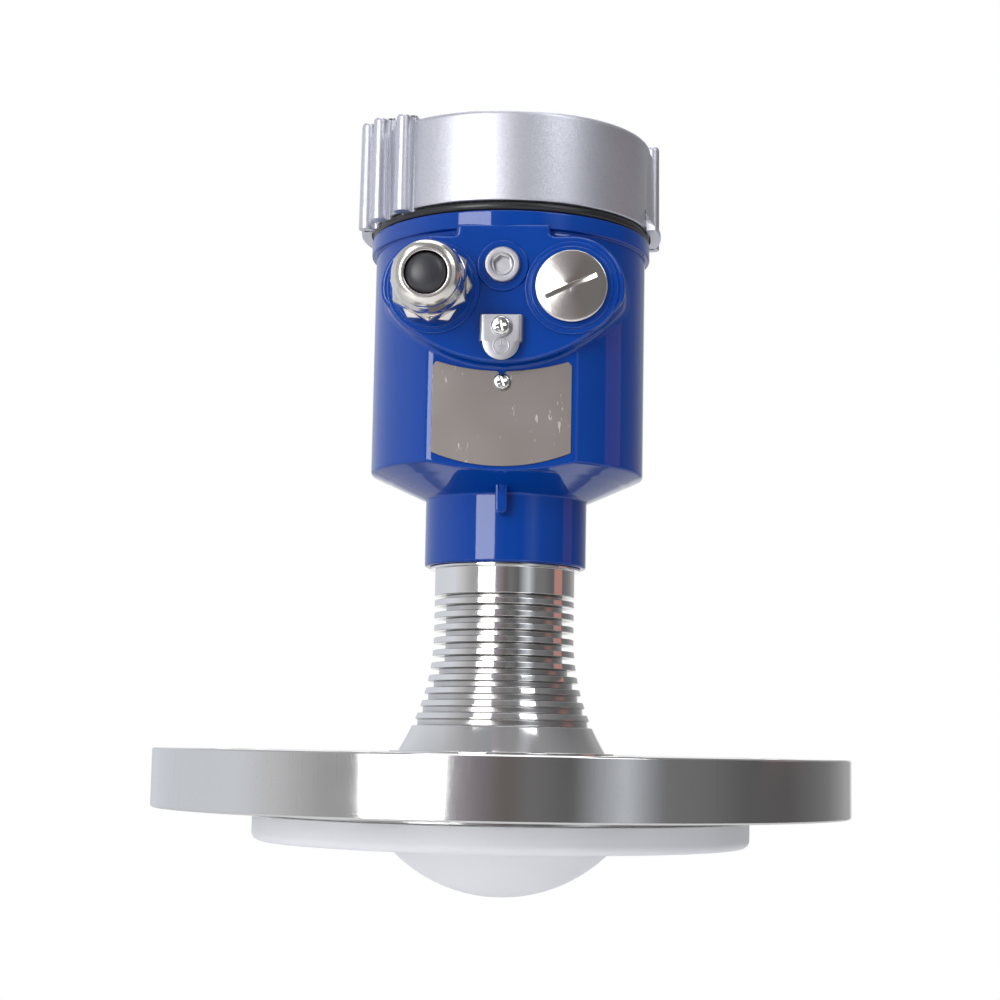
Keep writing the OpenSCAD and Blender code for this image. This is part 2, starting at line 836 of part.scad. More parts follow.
// Plate cut to follow the pad above it and the cone below it
module plate_outline() {
    top_arc_r = 69;
    bottom_arc_r = 57;
    corner = 1;
    notch = 2.2;
    top_z = plate_bottom_z + plate_h;
    difference() {
        intersection() {
            translate([-plate_w / 2, plate_bottom_z]) square([plate_w, plate_h + 10]);
            translate([0, plate_bottom_z + bottom_arc_r]) circle(r = bottom_arc_r, $fn = 360);
        }
        translate([0, top_z + top_arc_r]) circle(r = top_arc_r, $fn = 360);
        translate([0, top_z]) rotate([0, 0, 45]) square(notch, center = true);
        for (side = [-1, 1])
            translate([side * plate_w / 2, top_z + 3.4]) rotate([0, 0, 45]) square(2 * corner, center = true);
    }
}

module nameplate() {
    color([0.56, 0.53, 0.5])
    translate([0, -panel_y - seat_gap, 0])
        rotate([90, 0, 0])
            linear_extrude(height = plate_t)
                difference() {
                    plate_outline();
                    translate([0, plate_screw_z]) circle(r = 1.3, $fn = 32);
                }
}

module nameplate_screw() {
    color(steel)
    translate([0, -panel_y - plate_t - 2 * seat_gap, plate_screw_z])
        rotate([90, 0, 0])
            rotate([0, 0, 20])
                pan_screw(2.6, 1.8, 1, plate_t + 2.2);
}

// ---------- electronics ----------

// Holes or pads at the two posts
module at_posts(r, z, h) {
    for (side = [-1, 1])
        translate([side * post_x, 0, z]) cylinder(h = h, r = r);
}

// Moulded case, open downwards, whose top plate carries the terminals
module electronics_case() {
    color([0.15, 0.16, 0.18])
    difference() {
        union() {
            translate([0, 0, case_z]) cylinder(h = case_h + ear_t, r = case_r);
            intersection() {
                translate([0, 0, case_top]) cylinder(h = ear_t, r = mouth_r - free_gap / 2);
                translate([-post_x - post_r, -ear_w / 2, case_top])
                    cube([2 * (post_x + post_r), ear_w, ear_t]);
            }
        }
        translate([0, 0, case_z - cut]) cylinder(h = board_step_z - case_z + cut, r = case_r - case_wall);
        translate([0, 0, case_z]) cylinder(h = case_h - case_roof, r = case_r - 2 * case_wall);
        at_posts(case_screw_r + free_gap, case_top - cut, ear_t + 2 * cut);
        // Passages for the leads from the boards to the terminals
        for (side = [-1, 1])
            translate([side * terminal_w * 0.36, terminal_y, case_top - 5]) cylinder(h = 10, r = 1.2);
    }
}

module case_screws() {
    color(steel)
    for (side = [-1, 1])
        translate([side * post_x, 0, case_top + ear_t + seat_gap])
            pan_screw(case_screw_head[0], case_screw_head[1], case_screw_r, ear_t + case_screw_l);
}

module board(z) {
    translate([0, 0, z]) cylinder(h = board_t, r = board_r);
}

module main_board() {
    chip_w = board_r * 0.8;
    color("darkgreen")
    union() {
        board(main_z);
        translate([-chip_w / 2, -chip_w * 0.4, main_z + board_t - seat_gap])
            cube([chip_w, chip_w * 0.75, component_h / 4]);
        translate([board_r * 0.28, board_r * 0.5, main_z + board_t - seat_gap])
            cylinder(h = component_h * 0.7, r = chip_w / 6);
    }
}

module power_board() {
    coil_w = board_r * 0.42;
    color("darkgreen")
    union() {
        board(power_z);
        translate([-coil_w * 1.2, -coil_w, power_z + board_t - seat_gap])
            cube([coil_w, coil_w * 1.2, component_h * 0.8]);
        translate([coil_w * 0.7, -coil_w / 2, power_z + board_t - seat_gap])
            cylinder(h = component_h, r = coil_w * 0.4);
    }
}

module board_spacers() {
    spacer_z = main_z + board_t + seat_gap;
    color("goldenrod")
    for (turn = [45 : 90 : 315])
        rotate([0, 0, turn])
            translate([board_r - 2 * spacer_r, 0, spacer_z])
                cylinder(h = power_z - spacer_z - seat_gap, r = spacer_r);
}

function terminal_x(i) = (i - (terminal_count - 1) / 2) * terminal_pitch;

module terminal_block() {
    block_z = case_top + ear_t + seat_gap;
    color("darkseagreen")
    difference() {
        translate([-terminal_w / 2, terminal_y - terminal_d / 2, block_z])
            cube([terminal_w, terminal_d, terminal_h]);
        translate([-terminal_w / 2 - cut, terminal_y - terminal_d / 2 - cut, block_z + terminal_h * 0.62])
            cube([terminal_w + 2 * cut, 4.5 + cut, terminal_h]);
        for (i = [0 : terminal_count - 1])
            translate([terminal_x(i), terminal_y, 0]) {
                translate([0, terminal_screw_r + 0.2, block_z + terminal_h - terminal_well])
                    cylinder(h = terminal_h, r = terminal_screw_r + 0.2);
                translate([0, -terminal_d / 2 - cut, block_z + 3.1]) rotate([-90, 0, 0])
                    cylinder(h = 8, r = 1.7);
            }
    }
}

module terminal_screws() {
    screw_z = case_top + ear_t + terminal_h - terminal_well + 2 * seat_gap;
    color(nickel)
    for (i = [0 : terminal_count - 1])
        translate([terminal_x(i), terminal_y + terminal_screw_r + 0.2, screw_z])
            difference() {
                cylinder(h = terminal_screw_h, r = terminal_screw_r);
                rotate([0, 0, 35 + 25 * i])
                    translate([-terminal_screw_r - cut, -0.3, terminal_screw_h * 0.66])
                        cube([2 * (terminal_screw_r + cut), 0.6, terminal_screw_h]);
            }
}

// Saddle for the cable screen, next to the terminals
module inner_earth_terminal() {
    base_z = case_top + ear_t + seat_gap;
    color("silver")
    difference() {
        translate([-5, -19, base_z]) cube([10, 9, 4]);
        translate([-2, -20, base_z - cut]) cube([4, 4, 2.4]);
        translate([0, -13.5, base_z - cut]) cylinder(h = 8, r = 1.7);
    }
}

module inner_earth_screw() {
    color(steel) translate([0, -13.5, case_top + ear_t + 4 + 2 * seat_gap]) pan_screw(2.9, 2.1, 1.5, 3.8);
}

// ---------- lid ----------

module lid_seal() {
    section_r = seal_h / 2 - seat_gap;
    color(rubber) o_ring(thread_r + 0.15 + section_r, section_r, lip_top + seal_h / 2);
}

// Half section of the screwed lid
module lid_section() {
    outer_r = lid_d / 2;
    bore_r = thread_r + free_gap;
    top_t = 4;
    difference() {
        union() {
            translate([0, lid_z]) square([outer_r, lid_h - lid_edge_r]);
            translate([0, lid_z]) square([outer_r - lid_edge_r, lid_h]);
            translate([outer_r - lid_edge_r, lid_top - lid_edge_r]) circle(r = lid_edge_r, $fn = 48);
        }
        translate([-cut, lid_z - cut]) square([bore_r + cut, lid_thread_h + 2 + cut]);
        translate([-cut, lid_z]) square([bore_r - 1.5 + cut, lid_h - top_t]);
        // Shallow recess in the top
        translate([-cut, lid_top - 0.8]) square([outer_r - 8 + cut, 0.8 + cut]);
    }
}

// Grip rib with draft and a domed end, on a narrow web
module grip_rib(rise) {
    top_r = rib_d / 2;
    foot_r = top_r + 0.5;
    rib_h = lid_h + rise + rib_foot;
    web_w = rib_d * 0.78;
    translate([rib_r, 0, lid_z - rib_foot])
        rotate_extrude()
            intersection() {
                union() {
                    polygon([[0, 0], [foot_r, 0], [top_r, rib_h - top_r], [0, rib_h - top_r]]);
                    translate([0, rib_h - top_r]) circle(r = top_r, $fn = 48);
                }
                square([foot_r, rib_h]);
            }
    translate([thread_r + 1.2, -web_w / 2, lid_z + 0.6])
        cube([rib_r - thread_r - 1.2, web_w, lid_h + rise - top_r * 1.2 - 0.6]);
}

// Raised wall between the last two ribs
module grip_wall(start) {
    wall_r = lid_d / 2 + 1.3;
    rotate([0, 0, start])
        rotate_extrude(angle = rib_step + 1)
            translate([thread_r + 1.6, lid_z + 0.9])
                square([wall_r - thread_r - 1.6, lid_h + 1.3]);
}

// Lug whose foot is wider than its wall
module grip_lug(start) {
    wall_r = lid_d / 2 + 1;
    foot_r = wall_r + 2.6;
    foot_z = lid_z - rib_foot;
    rotate([0, 0, start])
        rotate_extrude(angle = lug_span + 0.5)
            polygon([
                [lid_d / 2 + 0.3, foot_z],
                [foot_r, foot_z],
                [foot_r, foot_z + 1],
                [wall_r, foot_z + 6],
                [wall_r, lid_top - 3.4],
                [wall_r - 0.9, lid_top - 1],
                [wall_r - 2.8, lid_top + 0.3],
                [thread_r + 0.9, lid_top + 0.3],
                [thread_r + 0.9, lid_z + 0.4],
                [lid_d / 2 + 0.3, lid_z + 0.4]
            ]);
}

// One group: climbing ribs, a wall between the last two, and a lug beside them
module grip_group() {
    last = -(rib_count - 1) * rib_step;
    for (i = [0 : rib_count - 1])
        rotate([0, 0, -i * rib_step]) grip_rib(rib_rise + i * rib_climb);
    grip_wall(last - 0.5);
    grip_lug(last - lug_span);
}

module lid() {
    color(silver)
    union() {
        rotate_extrude() lid_section();
        for (group = [0, 180])
            rotate([0, 0, group - 90 - rib_turn]) grip_group();
    }
}

flange();
finned_neck();
lens_disc();
lens_seal();
waveguide_tube();
microwave_module();
neck_seal();
retaining_ring();
housing();
socket_plug();
socket_plug_seal();
gland_body();
gland_washer();
gland_clamp_ring();
gland_seal();
gland_dust_plug();
gland_nut();
blanking_plug();
blanking_plug_seal();
earth_clamp();
earth_spring_washer();
earth_screw();
nameplate();
nameplate_screw();
electronics_case();
case_screws();
main_board();
power_board();
board_spacers();
terminal_block();
terminal_screws();
inner_earth_terminal();
inner_earth_screw();
lid_seal();
lid();
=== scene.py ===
import json
import math
import bmesh
import bpy
import numpy as np
from mathutils import Matrix, Vector


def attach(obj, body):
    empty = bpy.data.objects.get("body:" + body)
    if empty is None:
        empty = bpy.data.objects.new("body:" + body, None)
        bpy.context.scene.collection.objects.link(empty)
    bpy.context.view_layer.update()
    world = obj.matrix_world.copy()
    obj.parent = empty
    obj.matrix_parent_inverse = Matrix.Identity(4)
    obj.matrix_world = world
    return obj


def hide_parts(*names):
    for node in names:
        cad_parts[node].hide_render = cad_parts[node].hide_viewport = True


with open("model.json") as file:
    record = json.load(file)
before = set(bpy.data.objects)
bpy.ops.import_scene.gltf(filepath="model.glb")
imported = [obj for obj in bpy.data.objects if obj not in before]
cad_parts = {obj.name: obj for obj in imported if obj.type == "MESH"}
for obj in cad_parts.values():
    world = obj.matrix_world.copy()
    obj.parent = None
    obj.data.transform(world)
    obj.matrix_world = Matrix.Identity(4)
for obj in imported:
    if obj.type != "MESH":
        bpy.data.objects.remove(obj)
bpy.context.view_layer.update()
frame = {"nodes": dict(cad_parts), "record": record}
mm = 0.001  # lengths below are in millimetres and become metres when a mesh is made

cameraView = {
    "distance": 644.85, "aside": -2.08, "height": 19.8, "turn": 3.3,
    "pitch": 7.051, "roll": 1.077, "lens": 72.17,
}


def addObject(name, data):
    thing = bpy.data.objects.new(name, data)
    bpy.context.scene.collection.objects.link(thing)
    return thing


def makeCamera(s):
    pitch, roll = math.radians(s["pitch"]), math.radians(s["roll"])
    turn = Matrix.Rotation(math.radians(s["turn"]), 3, "Z")
    forward = Vector((0, math.cos(pitch), math.sin(pitch)))
    level = Vector((1, 0, 0))
    above = Vector((0, -math.sin(pitch), math.cos(pitch)))
    right = turn @ (math.cos(roll) * level + math.sin(roll) * above)
    up = turn @ (math.cos(roll) * above - math.sin(roll) * level)
    back = turn @ -forward
    place = turn @ Vector((s["aside"], -s["distance"], 0)) + Vector((0, 0, s["height"]))
    data = bpy.data.cameras.new("camera")
    data.lens = s["lens"]
    data.sensor_width = 36
    data.clip_start = 0.01
    eye = addObject("camera", data)
    columns = Matrix((right, up, back)).transposed().to_4x4()
    columns.translation = place * mm
    eye.matrix_world = columns
    bpy.context.scene.camera = eye


makeCamera(cameraView)
print("camera placed")


# Shapes: a grid is an array of rows x columns x 3, and each row is a closed or open curve of points

def evenAngles(count):
    return np.linspace(0, 2 * np.pi, count, endpoint=False)


def polar(r, angle, *level):
    # Point = (r cos a, r sin a), with z as well where a level is given
    return np.stack(np.broadcast_arrays(r * np.cos(angle), r * np.sin(angle), *level), -1)


def unit(vectors):
    return vectors / np.maximum(np.linalg.norm(vectors, axis=-1), 1e-9)[..., None]


def filleted(corners, steps=5, closed=False):
    # A corner (r, z, fillet) becomes an arc that starts and ends fillet / tan(half angle) away from it
    corners = np.array(corners, float)
    points, fillet = corners[:, :2], corners[:, 2].copy()
    if not closed:
        fillet[[0, -1]] = 0
    toLast = unit(np.roll(points, 1, 0) - points)
    toNext = unit(np.roll(points, -1, 0) - points)
    half = np.arccos(np.clip((toLast * toNext).sum(1), -1, 1)) / 2
    middle = toLast + toNext
    fillet = np.where(np.linalg.norm(middle, axis=1) < 1e-6, 0, fillet)
    reach = fillet / np.maximum(np.tan(half), 1e-6)
    centre = points + unit(middle) * (fillet / np.maximum(np.sin(half), 1e-6))[:, None]
    first = points + toLast * reach[:, None] - centre
    last = points + toNext * reach[:, None] - centre
    startAngle = np.arctan2(first[:, 1], first[:, 0])
    sweep = np.arctan2(last[:, 1], last[:, 0]) - startAngle
    sweep = (sweep + np.pi) % (2 * np.pi) - np.pi
    angle = startAngle[:, None] + sweep[:, None] * np.linspace(0, 1, steps)
    curve = (centre[:, None] + polar(fillet[:, None], angle)).reshape(-1, 2)
    keep = np.linalg.norm(np.diff(curve, axis=0, prepend=curve[:1] - 1), axis=1) > 1e-5
    return curve[keep]


def revolved(profile, columns=192):
    # Point = (r cos a, r sin a, z) for every profile point (r, z) and every angle a
    return polar(profile[:, :1], evenAngles(columns), profile[:, 1:2])


def outlineNormals(outline):
    # Outward normal of a closed plane curve that runs anticlockwise: its tangent turned by -90 degrees
    along = np.roll(outline, -1, 0) - np.roll(outline, 1, 0)
    return unit(np.stack([along[:, 1], -along[:, 0]], -1))


def evenly(outline, count, smooth=0.0):
    # The closed curve at even steps of its length, then blurred along its length by a Gaussian
    ring = np.vstack([outline, outline[:1]])
    run = np.concatenate([[0], np.cumsum(np.linalg.norm(np.diff(ring, axis=0), axis=1))])
    at = np.linspace(0, run[-1], count, endpoint=False)
    even = np.stack([np.interp(at, run, ring[:, k]) for k in (0, 1)], -1)
    if smooth > 0:
        wave = np.fft.fftfreq(count, run[-1] / count)
        kept = np.exp(-2 * (np.pi * wave * smooth) ** 2)[:, None]
        even = np.fft.ifft(np.fft.fft(even, axis=0) * kept, axis=0).real
    return even


def subdivided(profile, step):
    # Closed profile with points added so that none is further than step from the next
    ring = np.vstack([profile, profile[:1]])
    pieces = []
    for a, b in zip(ring[:-1], ring[1:]):
        count = max(1, int(np.ceil(np.linalg.norm(b - a) / step)))
        pieces.append(a + (b - a) * np.linspace(0, 1, count, endpoint=False)[:, None])
    return np.concatenate(pieces)


def rectangle(half, low, high):
    return np.array([(-half, low), (half, low), (half, high), (-half, high)])


def slab(outline, low, high, edge=0.3, steps=5, lowEdge=0.0, draft=0.0, between=0):
    # Rows (inset, level, scale): the outline is moved in along its normals, shrunk to its centre and lifted.
    # With draft it also grows evenly towards its foot
    angle = np.linspace(0, np.pi / 2, steps)
    inward, across = 1 - np.cos(angle), 1 - np.sin(angle)
    top = np.stack([edge * inward, high - edge * across, 0 * angle + 1], -1)
    foot = np.stack([lowEdge * inward, low + lowEdge * across, 0 * angle + 1], -1)[::-1]
    level = np.linspace(low + lowEdge, high - edge, between + 2)[1:-1]
    side = np.stack([0 * level, level, 0 * level + 1], -1)
    rows = np.vstack([[[lowEdge, low, 0], [lowEdge, low, 0.6]], foot, side, top,
                      [[edge, high, 0.6], [edge, high, 0]]])
    rows[:, 0] -= draft * (high - rows[:, 1]) / (high - low)
    centre = outline.mean(0)
    normal = outlineNormals(outline)
    flat = centre + rows[:, 2, None, None] * (outline - rows[:, 0, None, None] * normal - centre)
    level = np.broadcast_to(rows[:, 1, None, None], flat.shape[:2] + (1,))
    return np.concatenate([flat, level], -1)


def turned(grid, degrees):
    a = np.radians(degrees)
    aroundZ = np.array([[np.cos(a), -np.sin(a), 0], [np.sin(a), np.cos(a), 0], [0, 0, 1]])
    return grid @ aroundZ.T


def placed(grid, origin, tilt=0.0):
    # Local x, y and z go to the front's x, up and outward axes: a turn by 90 + tilt about X
    a = np.radians(90 + tilt)
    aroundX = np.array([[1, 0, 0], [0, np.cos(a), -np.sin(a)], [0, np.sin(a), np.cos(a)]])
    return grid @ aroundX.T + np.array(origin)


def quads(rows, columns, wrapRows, wrapColumns):
    i = np.arange(rows if wrapRows else rows - 1)[:, None]
    j = np.arange(columns if wrapColumns else columns - 1)[None, :]
    below, beside = (i + 1) % rows, (j + 1) % columns
    i, below = i * columns, below * columns
    return np.stack([i + j, i + beside, below + beside, below + j], -1).reshape(-1, 4)


def makePiece(name, grids, slot, body, node, sharp=35, finish=None):
    # All grids go into one mesh. Others than open rows and closed columns come as (array, rows wrap, columns wrap)
    grids = [g if isinstance(g, tuple) else (g, False, True) for g in grids]
    points = np.concatenate([g[0].reshape(-1, 3) for g in grids]) * mm
    starts = np.cumsum([0] + [g[0].shape[0] * g[0].shape[1] for g in grids])
    faces = np.concatenate([quads(*g[0].shape[:2], g[1], g[2]) + s for g, s in zip(grids, starts)])
    mesh = bpy.data.meshes.new(name)
    mesh.from_pydata(points, [], faces)
    work = bmesh.new()
    work.from_mesh(mesh)
    bmesh.ops.remove_doubles(work, verts=work.verts, dist=1e-6)
    bmesh.ops.recalc_face_normals(work, faces=work.faces)
    work.to_mesh(mesh)
    work.free()
    mesh.polygons.foreach_set("use_smooth", np.ones(len(mesh.polygons), bool))
    mesh.set_sharp_from_angle(angle=math.radians(sharp))
    mesh.materials.append(finishes[finish or slot])
    piece = addObject(name, mesh)
    piece.modifiers.new("weighted", "WEIGHTED_NORMAL").keep_sharp = True
    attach(piece, body)
    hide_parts(node)
    return piece


# Materials: shared effects are node groups, and each finish is a Principled BSDF that places them

def feed(tree, value, socket):
    # A socket takes a link from another socket, or a plain value
    if isinstance(value, bpy.types.NodeSocket):
        tree.links.new(value, socket)
    elif value is not None:
        socket.default_value = value


def addNode(tree, kind, **values):
    node = tree.nodes.new("ShaderNode" + kind)
    for key, value in values.items():
        if key in node.inputs:
            feed(tree, value, node.inputs[key])
        else:
            setattr(node, key, value)
    return node


def mathNode(tree, operation, first, second=None, clamp=False):
    node = addNode(tree, "Math", operation=operation, use_clamp=clamp)
    feed(tree, first, node.inputs[0])
    feed(tree, second, node.inputs[1])
    return node.outputs[0]


def plusScaled(tree, base, value, factor):
    return mathNode(tree, "ADD", base, mathNode(tree, "MULTIPLY", value, factor))


def vectorNode(tree, operation, first, second=None):
    node = addNode(tree, "VectorMath", operation=operation)
    feed(tree, first, node.inputs[0])
    feed(tree, second, node.inputs["Scale" if operation == "SCALE" else 1])
    return node.outputs["Value" if operation == "LENGTH" else "Vector"]


def splitVector(tree, vector):
    return addNode(tree, "SeparateXYZ", Vector=vector).outputs


def joinVector(tree, x=None, y=None, z=None):
    return addNode(tree, "CombineXYZ", X=x, Y=y, Z=z).outputs[0]


def scaledPlace(tree, vector, scale, turn):
    return addNode(tree, "Mapping", Vector=vector, Scale=scale, Rotation=turn).outputs[0]


def noiseValue(tree, vector, scale, detail=2.0, roughness=0.5, distortion=0.0):
    return addNode(tree, "TexNoise", Vector=vector, Scale=scale, Detail=detail, Roughness=roughness,
                   Distortion=distortion).outputs[0]


def spread(tree, value, low, high, fromLow=0.3, fromHigh=0.7):
    node = addNode(tree, "MapRange", Value=value)
    for label, limit in (("From Min", fromLow), ("From Max", fromHigh), ("To Min", low), ("To Max", high)):
        feed(tree, limit, node.inputs[label])
    return node.outputs[0]


def mixColours(tree, factor, first, second):
    node = addNode(tree, "Mix", data_type="RGBA")
    for socket, value in ((node.inputs[0], factor), (node.inputs[6], first), (node.inputs[7], second)):
        feed(tree, value, socket)
    return node.outputs[2]


def newGroup(name, inputs, outputs):
    # A number is an input's first value, and a vector has none
    group = bpy.data.node_groups.new(name, "ShaderNodeTree")
    for label, value in inputs.items():
        kind = "NodeSocketVector" if value is None else "NodeSocketFloat"
        socket = group.interface.new_socket(label, in_out="INPUT", socket_type=kind)
        if value is not None:
            socket.default_value = value
    for label, kind in outputs.items():
        group.interface.new_socket(label, in_out="OUTPUT", socket_type=kind)
    return group, group.nodes.new("NodeGroupInput").outputs, group.nodes.new("NodeGroupOutput").inputs


def useGroup(tree, group, vector, **values):
    return addNode(tree, "Group", node_tree=group, Vector=vector, **values).outputs


def newFinish(name, settings):
    material = bpy.data.materials.new(name)
    material.use_nodes = True
    tree = material.node_tree
    surface = tree.nodes["Principled BSDF"]
    for label, value in settings.items():
        surface.inputs[label].default_value = value
    return material, tree, surface, addNode(tree, "TexCoord").outputs["Object"]


def finishSurface(tree, surface, roughness, height, distance, colour=None, normal=None):
    bump = addNode(tree, "Bump", Height=height, Distance=distance, Strength=1.0, Normal=normal).outputs[0]
    for label, value in (("Roughness", roughness), ("Base Color", colour), ("Normal", bump)):
        feed(tree, value, surface.inputs[label])


def makeTurnedMarks():
    # Rings left by a lathe: noise that is stretched along the turning direction
    group, given, result = newGroup("turnedMarks", {"Vector": None, "Fineness": 2500.0, "Length": 3.0},
                                    {"Height": "NodeSocketFloat"})
    parts = splitVector(group, given["Vector"])
    flat = joinVector(group, parts[0], parts[1])
    along = vectorNode(group, "SCALE", vectorNode(group, "NORMALIZE", flat), given["Length"])
    across = mathNode(group, "ADD", vectorNode(group, "LENGTH", flat), parts[2])
    rise = joinVector(group, z=mathNode(group, "MULTIPLY", across, given["Fineness"]))
    total = vectorNode(group, "ADD", along, rise)
    group.links.new(noiseValue(group, total, 1.0, 3.0, 0.6), result["Height"])
    return group


def makeScratches():
    # Thin lines in three directions: the peaks of noise that is stretched about a hundred times
    directions = (((0.3, 0.5, 0.2), (30, 2600, 2600)), ((1.1, -0.4, 0.9), (2400, 26, 2400)),
                  ((0.2, 0.9, -0.5), (2200, 2200, 22)))
    group, given, result = newGroup("scratches", {"Vector": None, "Amount": 0.5}, {"Mask": "NodeSocketFloat"})
    total = None
    for turn, scale in directions:
        line = noiseValue(group, scaledPlace(group, given["Vector"], scale, turn), 1.0, 1.0)
        where = noiseValue(group, scaledPlace(group, given["Vector"], (60, 60, 60), turn), 1.0)
        peak = spread(group, plusScaled(group, line, where, 0.25), 0, 1, 0.80, 0.90)
        total = peak if total is None else mathNode(group, "MAXIMUM", total, peak)
    group.links.new(mathNode(group, "MULTIPLY", total, given["Amount"], True), result["Mask"])
    return group


def makeSmudges():
    # Slow, soft changes of gloss from handling and wiping
    group, given, result = newGroup("smudges", {"Vector": None, "Size": 40.0, "Low": 0.1, "High": 0.2},
                                    {"Value": "NodeSocketFloat"})
    cloud = noiseValue(group, given["Vector"], given["Size"], 4.0, distortion=0.6)
    group.links.new(spread(group, cloud, given["Low"], given["High"]), result["Value"])
    return group


def makeFlakes():
    # Metal flakes in paint: each small cell leans its own way and has its own brightness
    group, given, result = newGroup("flakes", {"Vector": None, "Fineness": 3500.0, "Lean": 0.1},
                                    {"Normal": "NodeSocketVector", "Bright": "NodeSocketFloat"})
    cells = addNode(group, "TexVoronoi", Vector=given["Vector"], Scale=given["Fineness"]).outputs["Color"]
    centred = vectorNode(group, "SUBTRACT", cells, (0.5, 0.5, 0.5))
    lean = vectorNode(group, "SCALE", centred, given["Lean"])
    total = vectorNode(group, "ADD", addNode(group, "NewGeometry").outputs["Normal"], lean)
    group.links.new(vectorNode(group, "NORMALIZE", total), result["Normal"])
    group.links.new(splitVector(group, cells)[0], result["Bright"])
    return group


turnedMarks = makeTurnedMarks()
scratches = makeScratches()
smudges = makeSmudges()
flakes = makeFlakes()


def smudged(tree, place, size, low, high):
    return useGroup(tree, smudges, place, Size=size, Low=low, High=high)["Value"]


def steelFinish(name, colour, low, high, fineness, depth, scratched, grooveShade=0.0):
    material, tree, surface, place = newFinish(name, {"Metallic": 1.0})
    marks = useGroup(tree, turnedMarks, place, Fineness=fineness)["Height"]
    mask = useGroup(tree, scratches, place, Amount=scratched)["Mask"]
    gloss = plusScaled(tree, smudged(tree, place, 45.0, low, high), mask, 0.12)
    shade = mixColours(tree, mask, colour + (1,), tuple(0.8 * c for c in colour) + (1,))
    # Painted shade on the groove floors: by the groove attribute their colour goes towards dark brown, and they get
    # rougher
    if grooveShade:
        shadedDepth = addNode(tree, "Attribute", attribute_name="groove").outputs["Fac"]
        gloss = plusScaled(tree, gloss, shadedDepth, 0.15)
        shade = mixColours(tree, mathNode(tree, "MULTIPLY", shadedDepth, grooveShade), shade, (0.10, 0.085, 0.075, 1))
    finishSurface(tree, surface, gloss, plusScaled(tree, marks, mask, -0.5), depth, shade)
    return material


def paintFinish(name, colour, low, high, grain, depth, more={}):
    material, tree, surface, place = newFinish(name, {"Base Color": colour + (1,), **more})
    finishSurface(tree, surface, smudged(tree, place, 38.0, low, high), noiseValue(tree, place, grain), depth)
    return material


def silverFinish(name):
    material, tree, surface, place = newFinish(name, {
        "Metallic": 0.85, "Coat Weight": 0.2, "Coat Roughness": 0.3})
    flake = useGroup(tree, flakes, place, Fineness=5200.0, Lean=0.09)
    bright = mixColours(tree, flake["Bright"], (0.52, 0.525, 0.58, 1), (0.64, 0.645, 0.70, 1))
    finishSurface(tree, surface, smudged(tree, place, 30.0, 0.40, 0.46), noiseValue(tree, place, 420.0), 0.00003,
                  bright, flake["Normal"])
    return material


def plateFinish(name):
    # Dull metal with short pale marks: peaks of fine noise where a slow noise lets them through
    material, tree, surface, place = newFinish(name, {"Metallic": 0.75})
    slow = noiseValue(tree, place, 55.0)
    fine = noiseValue(tree, scaledPlace(tree, place, (800, 800, 230), (0, 0.4, 0)), 1.0, 2.0, 0.6)
    marks = spread(tree, plusScaled(tree, fine, slow, 0.5), 0, 1, 0.94, 1.02)
    base = mixColours(tree, spread(tree, slow, 0, 1), (0.200, 0.177, 0.165, 1), (0.226, 0.202, 0.189, 1))
    shade = mixColours(tree, marks, base, (0.46, 0.43, 0.41, 1))
    finishSurface(tree, surface, smudged(tree, place, 60.0, 0.42, 0.50), marks, 0.000006, shade)
    return material


# Name, colour, least and most roughness, rings per metre, their depth in metres, scratches, and painted shade on the
# groove floors
steels = {
    "turned_steel": ("turnedSteel", (0.64, 0.63, 0.62), 0.09, 0.14, 1800.0, 0.000006, 0.45),
    "polished_steel": ("polishedSteel", (0.74, 0.73, 0.72), 0.06, 0.11, 2600.0, 0.000002, 0.15),
    "finned_steel": ("finnedSteel", (0.74, 0.73, 0.72), 0.06, 0.11, 2600.0, 0.000002, 0.15, 0.35),
    "satin_steel": ("satinSteel", (0.50, 0.50, 0.53), 0.28, 0.38, 3200.0, 0.000006, 0.5),
    "spring_steel": ("springSteel", (0.20, 0.20, 0.21), 0.30, 0.42, 2400.0, 0.000006, 0.2),
    "nickel_brass": ("nickel", (0.68, 0.65, 0.61), 0.14, 0.21, 2400.0, 0.000001, 0.25),
    "bare_brass": ("brass", (0.75, 0.55, 0.25), 0.22, 0.32, 2400.0, 0.000004, 0.2),
}
# Name, colour, least and most roughness, grains per metre, their depth in metres and other settings
paints = {
    "blue_enamel": ("blueEnamel", (0.0, 0.047, 0.305), 0.30, 0.40, 260.0, 0.00002, {
        "Specular IOR Level": 0.0, "Coat Weight": 1.0, "Coat Roughness": 0.05, "Coat IOR": 1.45}),
    "ptfe": ("ptfe", (0.80, 0.81, 0.84), 0.42, 0.52, 500.0, 0.00001, {
        "Subsurface Weight": 0.25, "Subsurface Radius": (1, 1, 1), "Subsurface Scale": 0.004}),
    "rubber": ("rubber", (0.013, 0.013, 0.014), 0.26, 0.38, 900.0, 0.00002),
    "dust_plug": ("dustPlug", (0.028, 0.028, 0.034), 0.30, 0.42, 700.0, 0.00002),
    "nylon": ("nylon", (0.72, 0.70, 0.62), 0.40, 0.50, 600.0, 0.00001),
    "case_plastic": ("casePlastic", (0.03, 0.032, 0.036), 0.42, 0.55, 1500.0, 0.00003),
    "terminal_plastic": ("terminalPlastic", (0.05, 0.22, 0.09), 0.38, 0.48, 900.0, 0.00002),
    "board": ("board", (0.01, 0.12, 0.05), 0.30, 0.40, 500.0, 0.00001, {"Coat Weight": 0.4}),
    "module_case": ("moduleCase", (0.6, 0.6, 0.6), 0.32, 0.42, 700.0, 0.00001, {"Metallic": 1.0}),
}
finishes = {"silver_paint": silverFinish("silverPaint"), "plate": plateFinish("plate")}
finishes |= {slot: steelFinish(*values) for slot, values in steels.items()}
finishes |= {slot: paintFinish(*values) for slot, values in paints.items()}
print("finishes made")


# Process connection

